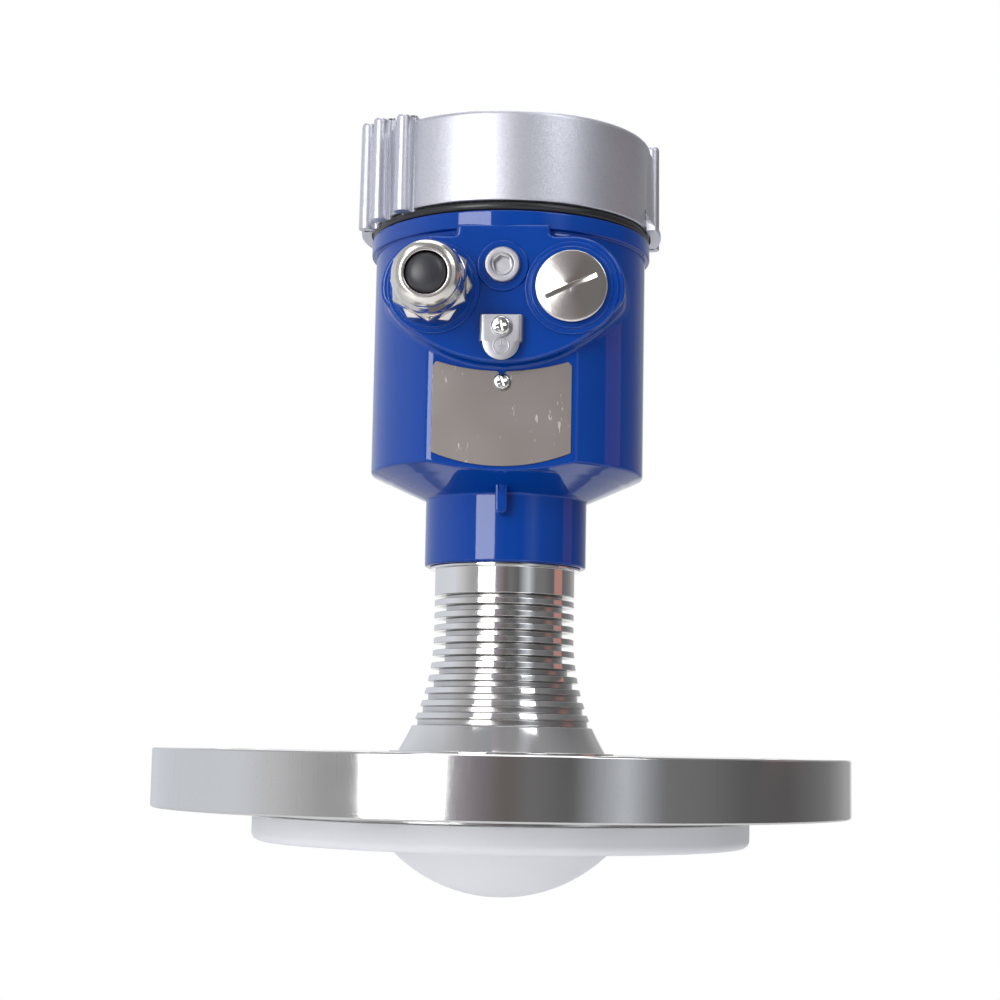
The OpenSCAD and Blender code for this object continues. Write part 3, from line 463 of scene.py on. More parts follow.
flange = {
    "rim": 110.0, "top": 18.0, "chamfer": 0.4, "boltCircle": 90.0, "bolts": 8, "hole": 9.0, "holeEdge": 0.4,
    "foot": 36.0, "face": 77.3, "faceDrop": 2.0, "socket": 29.05, "hub": 32.0, "hubTop": 8.0,
}


def sectorEdge(inner, outer, half, arcSteps=48, sideSteps=16):
    # Outer arc, far side, inner arc and near side of one bolt's sector, in even steps
    swing = np.linspace(-half, half, arcSteps, endpoint=False)
    side = np.linspace(outer, inner, sideSteps, endpoint=False)
    back = np.linspace(inner, outer, sideSteps, endpoint=False)
    radius = np.concatenate([0 * swing + outer, side, 0 * swing + inner, back])
    angle = np.concatenate([swing, 0 * side + half, -swing, 0 * side - half])
    return polar(radius, angle)


def drilledFlange(s):
    # Each sector's faces run from the hole's edge to the sector's, with their rings closer together at the hole
    half = math.pi / s["bolts"]
    rim, centre, hole, edge = s["rim"] - s["chamfer"], np.array([s["boltCircle"], 0.0]), s["hole"], s["holeEdge"]
    upper = sectorEdge(s["foot"], rim, half)
    lower = sectorEdge(s["face"], rim, half)
    direction = unit(lower - centre)
    profile = filleted([(hole + edge, s["top"], 0), (hole, s["top"] - edge, 0), (hole, edge, 0), (hole + edge, 0.0, 0)])
    wall = np.concatenate([centre + profile[:, :1, None] * direction,
                           np.broadcast_to(profile[:, 1:, None], (len(profile), len(direction), 1))], -1)
    grids = []
    for border, start, level in ((upper, wall[0], s["top"]), (lower, wall[-1], 0.0)):
        share = np.linspace(0, 1, 9)[:, None, None] ** 1.3
        flat = start[:, :2] + share * (border - start[:, :2])
        grids.append(np.concatenate([flat, np.full(flat.shape[:2] + (1,), level)], -1))
    grids.append(wall)
    turns = [math.degrees(half) * (2 * k + 1) for k in range(s["bolts"])]
    return [turned(grid, turn) for turn in turns for grid in grids]


def makeFlange(s):
    rim, c, top, face, hub = s["rim"], s["chamfer"], s["top"], s["face"], s["hub"]
    side = filleted([(rim - c, top, 0), (rim, top - c, 0.4), (rim, c, 0.4), (rim - c, 0, 0)])
    under = filleted([(face, 0.0, 0), (face, -s["faceDrop"], 0.25), (hub, -s["faceDrop"], 0), (hub, s["hubTop"], 0),
                      (s["socket"], s["hubTop"], 0), (s["socket"], top, 0), (s["foot"], top, 0)])
    grids = drilledFlange(s) + [revolved(side, 384), revolved(under, 384)]
    makePiece("flangeBody", grids, "turned_steel", "process_connection", "flange")


makeFlange(flange)

neck = {
    "flareRadius": 71.1, "flareTop": 56.0, "collar": 22.5, "collarBottom": 67.8, "shoulderZ": 76.3,
    "shoulder": 24.4, "shoulderTop": 77.1, "finTop": 66.5, "fins": 10, "pitch": 4.0, "fin": 2.0, "floor": 18.7,
    "bendZ": 48.0, "slope": 0.415, "foot": 36.0, "weld": 0.5, "base": 18.0, "edge": 0.3, "root": 0.45,
    "spigot": (26.0, 29.0, 8.05), "tip": 108.1, "bore": 18.05, "boreFloor": 88.1, "wave": 6.05, "waveFloor": 60.05,
}


def flareRadius(s, z):
    # Circle of flareRadius that is tangent to the collar at flareTop
    drop = np.maximum(s["flareTop"] - z, 0)
    return s["collar"] + s["flareRadius"] - np.sqrt(s["flareRadius"] ** 2 - drop ** 2)


def neckProfile(s):
    outer = lambda z: float(flareRadius(s, z))
    low, collar, shoulder, edge = s["base"] + s["weld"], s["collar"], s["shoulder"], s["edge"]
    inside, outside, end = s["spigot"]
    corners = [(inside, end, 0), (outside, end, 0), (outside, s["base"], 0), (s["foot"], s["base"], 0),
               (s["foot"], low, 0.2), (outer(low), low, 0.3)]
    groove = s["finTop"] - s["fins"] * s["pitch"]
    corners += [(outer(z), z, 0) for z in np.linspace(low + 0.8, groove - 0.6, 7)]
    for k in range(s["fins"] - 1, -1, -1):
        top = s["finTop"] - k * s["pitch"] - s["fin"]
        bottom = top - (s["pitch"] - s["fin"])
        floor = s["floor"] + max(0, s["bendZ"] - (top + bottom) / 2) * s["slope"]
        corners += [(outer(bottom), bottom, edge), (floor, bottom, s["root"]),
                    (floor, top, s["root"]), (outer(top), top, edge)]
    corners += [(collar, s["finTop"], edge), (s["floor"], s["finTop"], 0.3),
                (s["floor"], s["collarBottom"], 0.3), (collar, s["collarBottom"], edge),
                (collar, s["shoulderZ"], 0.3), (shoulder, s["shoulderZ"], 0.2), (shoulder, s["shoulderTop"], 0.2),
                (collar, s["shoulderTop"], 0), (collar, s["tip"], 0.5), (s["bore"], s["tip"], 0.3),
                (s["bore"], s["boreFloor"], 0), (s["wave"], s["boreFloor"], 0), (s["wave"], s["waveFloor"], 0)]
    return filleted(corners, 6, closed=True)


def markGrooveShade(piece, s):
    # Depth below the flare, from 0 on the fins to 1 on the groove floors: (flare radius - r - 0.3) / 1.2. It becomes
    # painted shade and more roughness on the groove floors
    mesh = piece.data
    points = np.empty(len(mesh.vertices) * 3)
    mesh.vertices.foreach_get("co", points)
    x, y, z = points.reshape(-1, 3).T / mm
    shadedDepth = np.clip((flareRadius(s, z) - np.hypot(x, y) - 0.3) / 1.2, 0, 1)
    shadedDepth[(z < s["finTop"] - s["fins"] * s["pitch"] - 0.5) | (z > s["collarBottom"] + 0.1)] = 0
    mesh.attributes.new("groove", "FLOAT", "POINT").data.foreach_set("value", shadedDepth)


neckPiece = makePiece("neckBody", [(revolved(neckProfile(neck), 256), True, True)], "polished_steel",
                      "process_connection", "finned_neck", finish="finned_steel")
markGrooveShade(neckPiece, neck)

lens = {
    "disc": 78.5, "bottom": -10.0, "top": -2.0, "edge": 2.6, "dome": 37.0, "domeHeight": 17.0,
    "inside": [(31.9, -2.0, 0), (31.9, 7.2, 0), (31.1, 8.0, 0), (24.8, 8.0, 0), (13.3, 38.0, 0.5), (0, 38.0, 0)],
}


def lensProfile(s):
    ball = (s["dome"] ** 2 + s["domeHeight"] ** 2) / (2 * s["domeHeight"])
    angle = np.linspace(0, math.asin(s["dome"] / ball), 40)
    dome = [(ball * math.sin(a), s["bottom"] - s["domeHeight"] + ball * (1 - math.cos(a)), 0) for a in angle[:-1]]
    return filleted(dome + [(s["dome"], s["bottom"], 1.2), (s["disc"], s["bottom"], s["edge"]),
                            (s["disc"], s["top"], 0.3)] + s["inside"], 8)


makePiece("lensBody", [revolved(lensProfile(lens), 256)], "ptfe", "process_connection", "lens_disc")
print("process connection made")

# Housing

housing = {
    "panel": 37.7, "panelLow": 98.0, "panelTop": 150.4, "panelBlend": 0.9, "neckRadius": 26.0,
    "wallPanel": 34.7, "wallRadius": (30.0, 40.5), "wallLevel": (110.01, 174.2),
    "padY": 44.6, "padZ": 159.4, "padTilt": 3.0, "padEdge": 1.2, "padFillet": 1.6, "padTop": 16.2, "belly": 45.0,
    "bellyRise": 21.9, "lobe": 16.3, "flank": (37.5, 24.2, 23.1), "strip": (14.4, 19.9),
    "entry": 21.2, "smallEntry": 6.8, "lug": 1.85, "lugZ": 93.5, "post": 35.1, "web": 38.0,
    "thread": 42.0, "threadLow": 184.2, "threadTop": 198.3, "threadPitch": 2.0, "threadDepth": 0.7,
}
# Outlines as (radius, level, fillet), with the levels of the bosses from the pad's plane
bodyProfile = filleted([
    (22.55, 77.2, 0.3), (26.0, 77.2, 0.8), (26.0, 98.6, 1.0), (44.0, 106.8, 1.2), (44.0, 150.3, 0), (44.0, 150.5, 0),
    (44.0, 178.3, 0.4), (45.5, 178.3, 0.5), (45.5, 183.7, 0.5), (42.0, 183.7, 0.2), (42.0, 198.9, 0.8),
    (38.4, 198.9, 0.4), (38.4, 174.3, 0.3), (40.4, 174.3, 0), (40.4, 110.0, 0.5), (26.1, 110.0, 0), (26.1, 104.0, 0),
    (22.55, 104.0, 0)], 7, closed=True)
bossProfile = filleted([(14.9, -0.5, 0), (14.4, 0.05, 0), (14.3, 1.0, 0.35), (12.9, 1.0, 0.25), (12.6, 2.0, 0.4),
                        (10.1, 2.0, 0.3), (10.1, -4.0, 0)], 6)
smallProfile = filleted([(8.5, -0.5, 0), (8.0, 0.05, 0), (7.7, 1.0, 0.4), (4.2, 1.0, 0.3), (4.2, -3.0, 0)], 6)
postProfile = filleted([(0, 109, 0), (3, 109, 0), (3, 170.0, 0.3), (0, 170.0, 0)])


def panelColumns():
    # Angles as shares of the panel's half width, dense at its edges, then on round the back
    inside = np.linspace(-0.91, 0.91, 21)
    near = 1 + np.linspace(-0.07, 0.07, 15)
    return np.concatenate([-near[::-1], inside, near]), np.linspace(0, 1, 132)[1:-1]


def flatSided(profile, s):
    # r = smooth least of R(z) and d / cos a, where the panel's distance d is huge outside the panel's levels
    far = 1e4
    shares, rest = panelColumns()
    r, z = profile[:, 0], profile[:, 1]
    outside = (r > s["neckRadius"] - 0.1) & (z < s["panelTop"]) & (z > s["panelLow"])
    (inmost, outmost), (low, high) = s["wallRadius"], s["wallLevel"]
    inner = (z > low) & (z < high) & (r < outmost) & (r > inmost)
    distance = np.where(inner, s["wallPanel"], np.where(outside, s["panel"], far))
    hold = np.where(inner, s["wallPanel"], s["panel"])
    edge = np.arccos(np.clip(hold / np.maximum(r, hold + 0.05), 0, 1))
    frontal = shares[None, :] * edge[:, None]
    last = shares[-1] * edge[:, None]
    back = last + rest[None, :] * (2 * np.pi - 2 * last)
    angle = np.concatenate([frontal, back], 1)
    flat = distance[:, None] / np.maximum(np.cos(angle), 1e-3)
    flat = np.where(np.cos(angle) > 1e-3, flat, far)
    k = s["panelBlend"]
    h = np.clip(0.5 + 0.5 * (flat - r[:, None]) / k, 0, 1)
    radius = flat * (1 - h) + r[:, None] * h - k * h * (1 - h)
    return np.stack([radius * np.sin(angle), -radius * np.cos(angle), np.broadcast_to(z[:, None], angle.shape)], -1)


def bodyFront(s, x, z):
    # y of the outer surface in front: the panel plane or the round body, whichever is nearer the axis
    outer = bodyProfile[bodyProfile[:, 1].argsort()]
    hollow = (outer[:, 0] < 41) & (outer[:, 1] > 109.9)
    outer = outer[(outer[:, 0] > s["neckRadius"] - 0.1) & (outer[:, 1] < 178) & ~hollow]
    radius = np.interp(z, outer[:, 1], outer[:, 0])
    bulge = np.sqrt(np.maximum(radius ** 2 - x ** 2, 1))
    return -np.where(z < s["panelTop"], np.minimum(bulge, s["panel"]), bulge)


def bodyDepth(s, flat):
    # Distance along the pad's normal from its plane to the body, found by repeated substitution
    a = math.radians(s["padTilt"])
    u, v = flat[..., 0], flat[..., 1]
    depth = np.zeros_like(u)
    for _ in range(12):
        z = s["padZ"] + math.cos(a) * v - math.sin(a) * depth
        depth = (-s["padY"] - math.sin(a) * v - bodyFront(s, u, z)) / math.cos(a)
    return depth


def padOutline(s):
    # Furthest point inside the shape in each direction, then even steps and a slight rounding
    angle = evenAngles(1440)[:, None]
    reach = np.linspace(5, 50, 2251)[None, :]
    u, v = reach * np.cos(angle), reach * np.sin(angle)
    belly = u ** 2 + (v - s["bellyRise"]) ** 2 < s["belly"] ** 2
    lobes = (np.abs(u) - s["entry"]) ** 2 + v ** 2 < s["lobe"] ** 2
    middle = (np.abs(u) < s["entry"]) & (v < s["padTop"])
    wide, narrow, drop = s["flank"]
    flank = (v < 0) & (np.abs(u) < wide + (wide - narrow) / drop * v)
    strip = (np.abs(u) < s["strip"][0]) & (v > 0) & (v < s["strip"][1])
    inside = (belly & (lobes | middle | flank)) | strip
    return evenly(polar((inside * reach).max(1), angle[:, 0]), 640, 1.0)


def onPad(grid, x=0.0, u=0.0, spin=0.0):
    local = turned(grid, spin) + np.array([x, u, 0.0])
    return placed(local, (0, -housing["padY"], housing["padZ"]), housing["padTilt"])


def padGrid(s):
    # The face, its rounded edge, the side, and a fillet that ends just inside the body
    outline = padOutline(s)
    normal = outlineNormals(outline)
    edge, fillet = s["padEdge"], s["padFillet"]
    rows = [(outline * k, 0) for k in (0, 0.5, 0.8)]
    for a in np.linspace(0, np.pi / 2, 6):
        rows.append((outline - edge * (1 - np.sin(a)) * normal, -edge * (1 - np.cos(a))))
    foot = np.minimum(bodyDepth(s, outline) + fillet, -edge - 0.05)
    rows += [(outline, -edge + share * (foot + edge)) for share in (0.25, 0.5, 0.75)]
    for a in np.linspace(0, np.pi / 2, 8):
        flat = outline + fillet * (1 - np.cos(a)) * normal
        rows.append((flat, np.minimum(bodyDepth(s, flat) + fillet * (1 - np.sin(a)), -edge - 0.05)))
    flat = outline + 1.2 * fillet * normal
    rows.append((flat, bodyDepth(s, flat) - 0.6))
    return onPad(np.array([np.column_stack([flat, level + 0 * flat[:, 0]]) for flat, level in rows]))


def threadGrid(s, radius, low, top):
    # r = radius - depth * (0.5 + 0.5 cos of the phase), and the phase gains one turn per pitch and per revolution
    z = np.arange(low, top, 0.16)[:, None]
    angle = evenAngles(240)[None, :]
    phase = 2 * np.pi * (z / s["threadPitch"]) - angle
    fade = np.clip(np.minimum(z - low, top - z) / 1.2, 0, 1)
    depth = s["threadDepth"] * fade * (0.5 + 0.5 * np.clip(1.6 * np.cos(phase), -1, 1))
    return polar(radius - depth, angle, z)


def makeHousing(s):
    w, z = s["lug"], s["lugZ"]
    lug = np.array([(-w, z)] + [(w * math.cos(a), z + 0.05 + w * math.sin(a))
                                for a in np.linspace(-math.pi, 0, 15)[1:-1]] + [(w, z), (w, 102), (-w, 102)])
    grids = [(flatSided(subdivided(bodyProfile, 1.6), s), True, True), padGrid(s),
             onPad(revolved(smallProfile, 96), 0, s["smallEntry"]),
             placed(slab(evenly(lug, 96), 0, 6, 0.6), (0, -24.5, 0))]
    pairs = ((onPad(revolved(bossProfile, 128)), s["entry"]), (revolved(postProfile, 48), s["post"]),
             (slab(rectangle(3.0, -1.5, 1.5), 109, 169.9, 0.2), s["web"]))
    grids += [grid + np.array([side * x, 0, 0]) for grid, x in pairs for side in (-1, 1)]
    grids.append(threadGrid(s, s["thread"] + 0.12, s["threadLow"], s["threadTop"]))
    makePiece("housingBody", grids, "blue_enamel", "housing", "housing", 38)


makeHousing(housing)
print("housing made")

# Lid

lid = {
    "radius": 45.5, "rim": 186.9, "top": 216.1, "edge": 2.0, "dish": 215.3, "roof": 212.1, "roofRadius": 40.8,
    "bore": 42.3, "boreTop": 200.9, "firstRib": 42.7, "ribStep": 16.0, "ribs": 3,
    "ribCentre": 48.1, "rib": 2.2, "web": 1.5, "rise": 1.1, "climb": 2.1, "foot": 1.2, "draft": 0.3,
    "wall": 46.8, "wallRise": 2.2, "lug": 46.5, "lugFoot": 49.1, "lugSpan": 31.0, "lugRise": 0.3, "inner": 43.2,
}


def ribOutline(s):
    # Round bead on a narrow web that starts inside the lid's wall
    reach = math.acos(-math.sqrt(1 - (s["web"] / s["rib"]) ** 2))
    bead = [(s["ribCentre"] + s["rib"] * math.cos(a), s["rib"] * math.sin(a), 0)
            for a in np.linspace(-reach, reach, 33)]
    wall = s["radius"] - 0.1
    web = [(wall, s["web"], 0.0), (wall, s["web"] + 1.0, 0), (s["inner"], s["web"] + 1.0, 0.4)]
    other = [(r, -p, f) for r, p, f in web[::-1]]
    return filleted(other + bead + web, 4, closed=True)


def sectorSweep(profile, start, end, edge, s, fade=0.0):
    # The closed profile (r, z) is swept from angle start to end, in degrees, with rounded ends. With fade, what
    # stands outside the lid grows from nothing over that angle: r = lid + (r - lid) * share, but not below the rim
    middle = profile[:, 0].mean()
    count = int((end - start) / 1.5)
    grid = slab(profile, math.radians(start) * middle, math.radians(end) * middle, edge, 6, edge, 0.0, count)
    r, z, angle = grid[..., 0], grid[..., 1], grid[..., 2] / middle
    if fade:
        grown = np.clip((np.degrees(angle) - start) / fade, 0, 1)
        free = np.clip((z - s["rim"] - 0.6) / 2.5, 0, 1)
        share = 1 - free * (1 - grown * grown * (3 - 2 * grown))
        wall = s["radius"] - 0.1
        r = np.where(r > wall, wall + (r - wall) * share, r)
    return polar(r, angle, z)


def gripGroup(s):
    # Angles are measured from the first rib, and the others follow towards the back
    foot, low, inner, step = s["rim"] - s["foot"], s["rim"] + 0.9, s["inner"], s["ribStep"]
    outline = evenly(ribOutline(s), 96, 0.12)
    grids = [turned(slab(outline, foot, s["top"] + s["rise"] + k * s["climb"], 1.55, 8, 0.25, s["draft"]), -k * step)
             for k in range(s["ribs"])]
    last, high = -(s["ribs"] - 1) * step, s["top"] + s["wallRise"]
    wall = filleted([(inner, low, 0), (s["wall"], low, 0.3), (s["wall"], high, 0.8), (inner, high, 0.6)], 6, True)
    grids.append(sectorSweep(subdivided(wall, 1.5), last, last + step, 0.2, s))
    low, high, outer, lug = s["rim"] + 0.3, s["top"] + s["lugRise"], s["radius"] + 0.2, s["lug"]
    lug = filleted([(inner, low, 0), (outer, low, 0), (outer, foot, 0.2), (s["lugFoot"], foot, 0.5),
                    (s["lugFoot"], foot + 1.6, 0.5), (lug + 0.5, foot + 5.0, 3.0), (lug - 0.2, s["top"] - 3.4, 2.0),
                    (lug - 2.8, high, 1.2), (inner, high, 0.3)], 7, True)
    grids.append(sectorSweep(subdivided(lug, 1.5), last - s["lugSpan"], last - 0.6, 0.5, s, 12.0))
    return grids


def lidProfile(s):
    return filleted([
        (0, s["roof"], 0), (s["roofRadius"], s["roof"], 0.8), (s["roofRadius"], s["boreTop"], 0.3),
        (s["bore"], s["boreTop"], 0.2), (s["bore"], s["rim"], 0.3), (s["radius"], s["rim"], 0.5),
        (s["radius"], s["top"], s["edge"]), (38.4, s["top"], 0.5), (37.4, s["dish"], 0.5), (0, s["dish"], 0)], 8)


def makeLid(s):
    grids = [revolved(lidProfile(s), 256)]
    for half in (0, 180):
        grids += [turned(grid, half - 90 - s["firstRib"]) for grid in gripGroup(s)]
    makePiece("lidBody", grids, "silver_paint", "lid", "lid", 40)


makeLid(lid)
seal = {"radius": 43.7, "level": 185.3, "section": 1.55}
sealRing = revolved(np.array([seal["radius"], seal["level"]]) + polar(seal["section"], evenAngles(40)), 256)
makePiece("lidSealRing", [(sealRing, True, True)], "rubber", "lid_seal", "lid_seal")
print("lid made")

# Cable gland and plugs, with levels along each axis from the pad's plane

gland = {
    "x": -21.2, "flats": 22.0, "bodyTurn": -4.0,
    "body": [(7.1, -7.0, 0), (9.9, -7.0, 0.3), (9.9, 2.55, 0), (10.8, 2.55, 0.2), (12.8, 3.5, 0.3), (12.8, 7.4, 0.3),
             (10.8, 8.35, 0.2), (9.0, 8.35, 0), (9.0, 17.8, 0.3), (7.1, 17.8, 0.2)],
    "nut": [(9.15, 8.85, 0.1), (11.4, 8.85, 0.2), (12.85, 9.3, 0.3), (12.85, 12.9, 0.4), (11.3, 14.9, 0.3),
            (11.05, 15.0, 0.1), (11.05, 19.8, 1.6), (10.25, 22.4, 0.8), (10.05, 22.8, 0.3), (9.9, 24.4, 1.0),
            (9.0, 25.5, 1.6), (7.6, 26.05, 1.4), (6.5, 26.05, 0.35), (6.3, 24.6, 0.1), (6.3, 19.0, 0),
            (9.15, 18.0, 0)],
    "dustPlug": [(0, 10.4, 0), (4.3, 10.4, 0.3), (4.3, 21.75, 0), (6.05, 21.75, 0.2), (6.05, 25.0, 0.5)],
    "dome": (5.6, 25.1, 1.7),
}


def hexed(profile, flats, turn):
    # Turned profile cut by six flats, each at half the width / cos a from its middle, with a slight rounding where
    # they meet the profile: least by a power mean
    angle = evenAngles(192)[None, :]
    r, z = profile[:, :1], profile[:, 1:2]
    a = (angle - math.radians(turn) + math.pi / 6) % (math.pi / 3) - math.pi / 6
    cut = (r ** -70 + (flats / 2 / np.cos(a)) ** -70) ** (-1 / 70)
    return polar(np.where(r < flats / 2 - 0.5, r, np.minimum(cut, r)), angle, z)


def makeGland(s):
    body = hexed(subdivided(filleted(s["body"], 6, True), 0.4), s["flats"], 30)
    makePiece("glandBodyHex", [(onPad(body, s["x"], 0, s["bodyTurn"]), True, True)], "nickel_brass", "housing",
              "gland_body", 28)
    nut = hexed(subdivided(filleted(s["nut"], 7, True), 0.4), s["flats"], 0)
    makePiece("glandNutBody", [(onPad(nut, s["x"]), True, True)], "nickel_brass", "gland_nut", "gland_nut", 28)
    width, level, height = s["dome"]
    dustPlug = filleted(s["dustPlug"] + [(width * math.cos(a), level + height * math.sin(a), 0)
                                         for a in np.linspace(0.35, math.pi / 2, 14)], 6)
    dustPlug[-1, 0] = 0
    makePiece("glandDustPlug", [onPad(revolved(dustPlug, 96), s["x"])], "dust_plug", "gland_insert",
              "gland_dust_plug")


makeGland(gland)


def recessRadius(shapes, angle):
    # Furthest of several convex shapes in each direction: distance / cos(difference) to the nearest edge line
    reach = []
    for edges in shapes:
        toward = np.cos(angle[:, None] - np.radians([e[0] for e in edges]))
        line = np.array([e[1] for e in edges]) / np.maximum(toward, 1e-3)
        reach.append(np.where(toward > 1e-3, line, 1e3).min(1))
    return np.max(reach, axis=0)


def drivenHead(profile, shapes, angle, crown, floor, lip=0.12):
    # Profile, then in along the crown z(r) to the recess's outline, down its wall, and over the floor z(x)
    recess = recessRadius(shapes, angle)
    last = profile[-1, 0]
    rows = [(r + 0 * angle, z) for r, z in profile]
    for k in (0.2, 0.4, 0.6, 0.8, 1.0):
        r = last * (1 - k) + (recess + lip) * k
        rows.append((r, crown(r)))
    rows += [(recess + 0.3 * lip, crown(recess) - 0.3 * lip), (recess, crown(recess) - lip)]
    for k in (1.0, 0.98, 0.9, 0.8, 0.65, 0.5, 0.35, 0.15, 0.0):
        rows.append((recess * k, np.minimum(floor(recess * k * np.cos(angle)), crown(recess) - 0.2)))
    return np.array([polar(r, angle, z) for r, z in rows])


# The plug's face is a shallow cone, and its slot has the curved floor of a disc cutter
plug = {
    "half": 8.2, "width": 0.7, "depth": 1.7, "slope": 0.115, "top": 5.85, "turn": 24.0,
    "profile": [(0, -6.0, 0), (9.9, -6.0, 0.4), (9.9, 2.85, 0), (11.0, 2.85, 0.15), (11.0, 4.62, 0.35),
                (10.3, 4.78, 0)],
}


def plugGrid(s):
    # The angles are dense where the slot's outline runs, so that its edges stay straight
    half, width = s["half"], s["width"]
    along, across = np.linspace(-half, half, 90), np.linspace(-width, width, 9)
    angle = np.concatenate([
        evenAngles(320), np.arctan2(width, along), np.arctan2(-width, along),
        np.arctan2(across, half), np.arctan2(across, -half)]) % (2 * np.pi)
    return drivenHead(
        filleted(s["profile"], 7), [[(0, half), (180, half), (90, width), (270, width)]],
        np.unique(np.round(angle, 5)), lambda r: s["top"] - s["slope"] * (np.sqrt(r ** 2 + 1) - 1),
        lambda x: s["top"] - 0.35 - s["depth"] * (1 - (x / half) ** 2) - 0.8 * (x / half) ** 2)


makePiece("blankingPlugBody", [onPad(plugGrid(plug), housing["entry"], 0, plug["turn"])], "nickel_brass",
          "blanking_plug", "blanking_plug", 28)

socket = {
    "flats": 2.5, "top": 2.9, "floor": 0.9, "turn": 12.0,
    "profile": [(0, -5.0, 0), (3.9, -5.0, 0), (3.9, 1.6, 0), (5.4, 1.65, 0.1), (5.5, 2.9, 0.25), (5.1, 3.45, 0.2),
                (3.7, 3.45, 0.2), (3.1, 2.9, 0)],
}
socketGrid = drivenHead(filleted(socket["profile"], 6), [[(60 * k, socket["flats"]) for k in range(6)]],
                        evenAngles(240), lambda r: socket["top"] + 0 * r, lambda x: socket["floor"] + 0 * x)
makePiece("socketPlugBody", [onPad(socketGrid, 0, housing["smallEntry"], socket["turn"])], "satin_steel", "housing",
          "socket_plug", 28)
print("gland and plugs made")

# Earth clamp, name plate and their screws

cross = [[(0, 1.6), (180, 1.6), (90, 0.42), (270, 0.42)], [(90, 1.6), (270, 1.6), (0, 0.42), (180, 0.42)]]


def screwGrid(radius, height, level, shank, spin):
    # Pan head: a short wall, a rounded shoulder and a gently crowned top with a cross recess
    top, flat = level + height, 0.7 * radius
    shoulder = [(flat + (radius - flat) * math.cos(a), level + height * (0.35 + 0.5 * math.sin(a)), 0)
                for a in np.linspace(0.0, math.pi / 2, 9)]
    head = filleted([(0, level - shank, 0), (1.2, level - shank, 0), (1.2, level, 0), (radius - 0.1, level, 0.05)]
                    + shoulder, 4)
    grid = drivenHead(head, cross, evenAngles(288), lambda r: top - 0.15 * height * (r / flat) ** 2,
                      lambda x: top - 1.3 + 0.15 * np.abs(x), 0.1)
    return turned(grid, spin)


clamp = {
    "half": 6.7, "top": -8.7, "shoulder": -16.9, "tongue": 5.7, "stand": 3.6, "sheet": 1.0, "bend": 1.3,
    "screw": -12.4, "mark": 1.5, "ring": 2.4, "ringSection": 0.26,
    "bars": [(1.35, 0.17, 0.1), (0.9, 0.17, -0.55), (0.45, 0.17, -1.2), (0.17, 0.85, 0.95)],
}


def ribbon(path, section):
    # A closed section (across, along) carried on an open path: point = path + normal * across, and v = along
    along = np.gradient(path, axis=0)
    normal = unit(np.stack([-along[:, 1], along[:, 0]], -1))
    flat = path[None] + section[:, :1, None] * normal[None]
    grid = np.stack([flat[..., 0], np.broadcast_to(section[:, 1:2], flat.shape[:2]), flat[..., 1]], -1)
    first, last = (np.broadcast_to(grid.mean(0)[k], (len(section), 1, 3)) for k in (0, -1))
    return np.concatenate([first, grid, last], 1)


def clampGrids(s):
    mid, half = s["stand"] - s["sheet"] / 2, s["half"] - s["sheet"] / 2
    path = filleted([(-half, 0.05, 0), (-half, mid, s["bend"] - 0.5), (half, mid, s["bend"] - 0.5), (half, 0.05, 0)], 8)
    path = subdivided(path, 0.8)[:-8]
    path = np.vstack([path[path[:, 1] > 0.04], [[half, 0.05]]])
    low = s["shoulder"]
    section = filleted([(x, y, 0.2) for x, y in rectangle(s["sheet"] / 2, low, s["top"])], 4, True)
    tongue = [(s["tongue"] * math.cos(a), low + s["tongue"] * math.sin(a)) for a in np.linspace(-math.pi, 0, 48)]
    tongue += [(s["tongue"] - 0.2, low + 0.5), (-s["tongue"] + 0.2, low + 0.5)]
    tongue = slab(evenly(np.array(tongue), 128), s["stand"] - s["sheet"], s["stand"] - 0.012, 0.2, 5, 0.2)
    return [(ribbon(path, section), True, False), (tongue, False, True)]


def earthMark(s):
    # Raised ring with three bars and a stem
    level, place = s["stand"] - 0.05, np.array([0, s["shoulder"] - s["mark"], 0])
    ring = revolved(np.array([s["ring"], level]) + polar(s["ringSection"], evenAngles(16)), 72)
    grids = [(ring + place, True, True)]
    for half, thick, v in s["bars"]:
        bar = evenly(rectangle(half, v - thick, v + thick), 64, 0.06)
        grids.append((slab(bar, level - 0.2, level + 0.25, 0.14, 4) + place, False, True))
    return grids


makePiece("earthClampSheet", [(onPad(grid), a, b) for grid, a, b in clampGrids(clamp) + earthMark(clamp)],
          "satin_steel", "housing", "earth_clamp", 30)
makePiece("earthScrewHead", [onPad(screwGrid(3.0, 2.0, 4.5, 8.0, 12), 0, clamp["screw"])], "polished_steel",
          "housing", "earth_screw", 28)

plate = {"half": 21.5, "corner": 138.2, "top": 134.8, "bottom": 105.3, "topArc": 69.0, "bottomArc": 57.0,
         "gap": 0.05, "thick": 0.5, "screw": 131.4, "notch": 1.5}


def plateOutline(s):
    # Anticlockwise from the lower left: the bottom arc, the right side, the top arc with its notch, the left side
    x = np.linspace(-s["half"], s["half"], 60)
    bottom = s["bottom"] + s["bottomArc"] - np.sqrt(s["bottomArc"] ** 2 - x ** 2)
    right = np.linspace(s["half"] - 1.2, s["notch"], 30)
    arc = np.stack([right, s["top"] + s["topArc"] - np.sqrt(s["topArc"] ** 2 - right ** 2)], -1)
    corner = np.array([(s["half"], s["corner"] - 1.6)])
    return np.vstack([np.stack([x, bottom], -1), corner, arc, [(0, s["top"] - s["notch"])], arc[::-1] * (-1, 1),
                      corner * (-1, 1)])


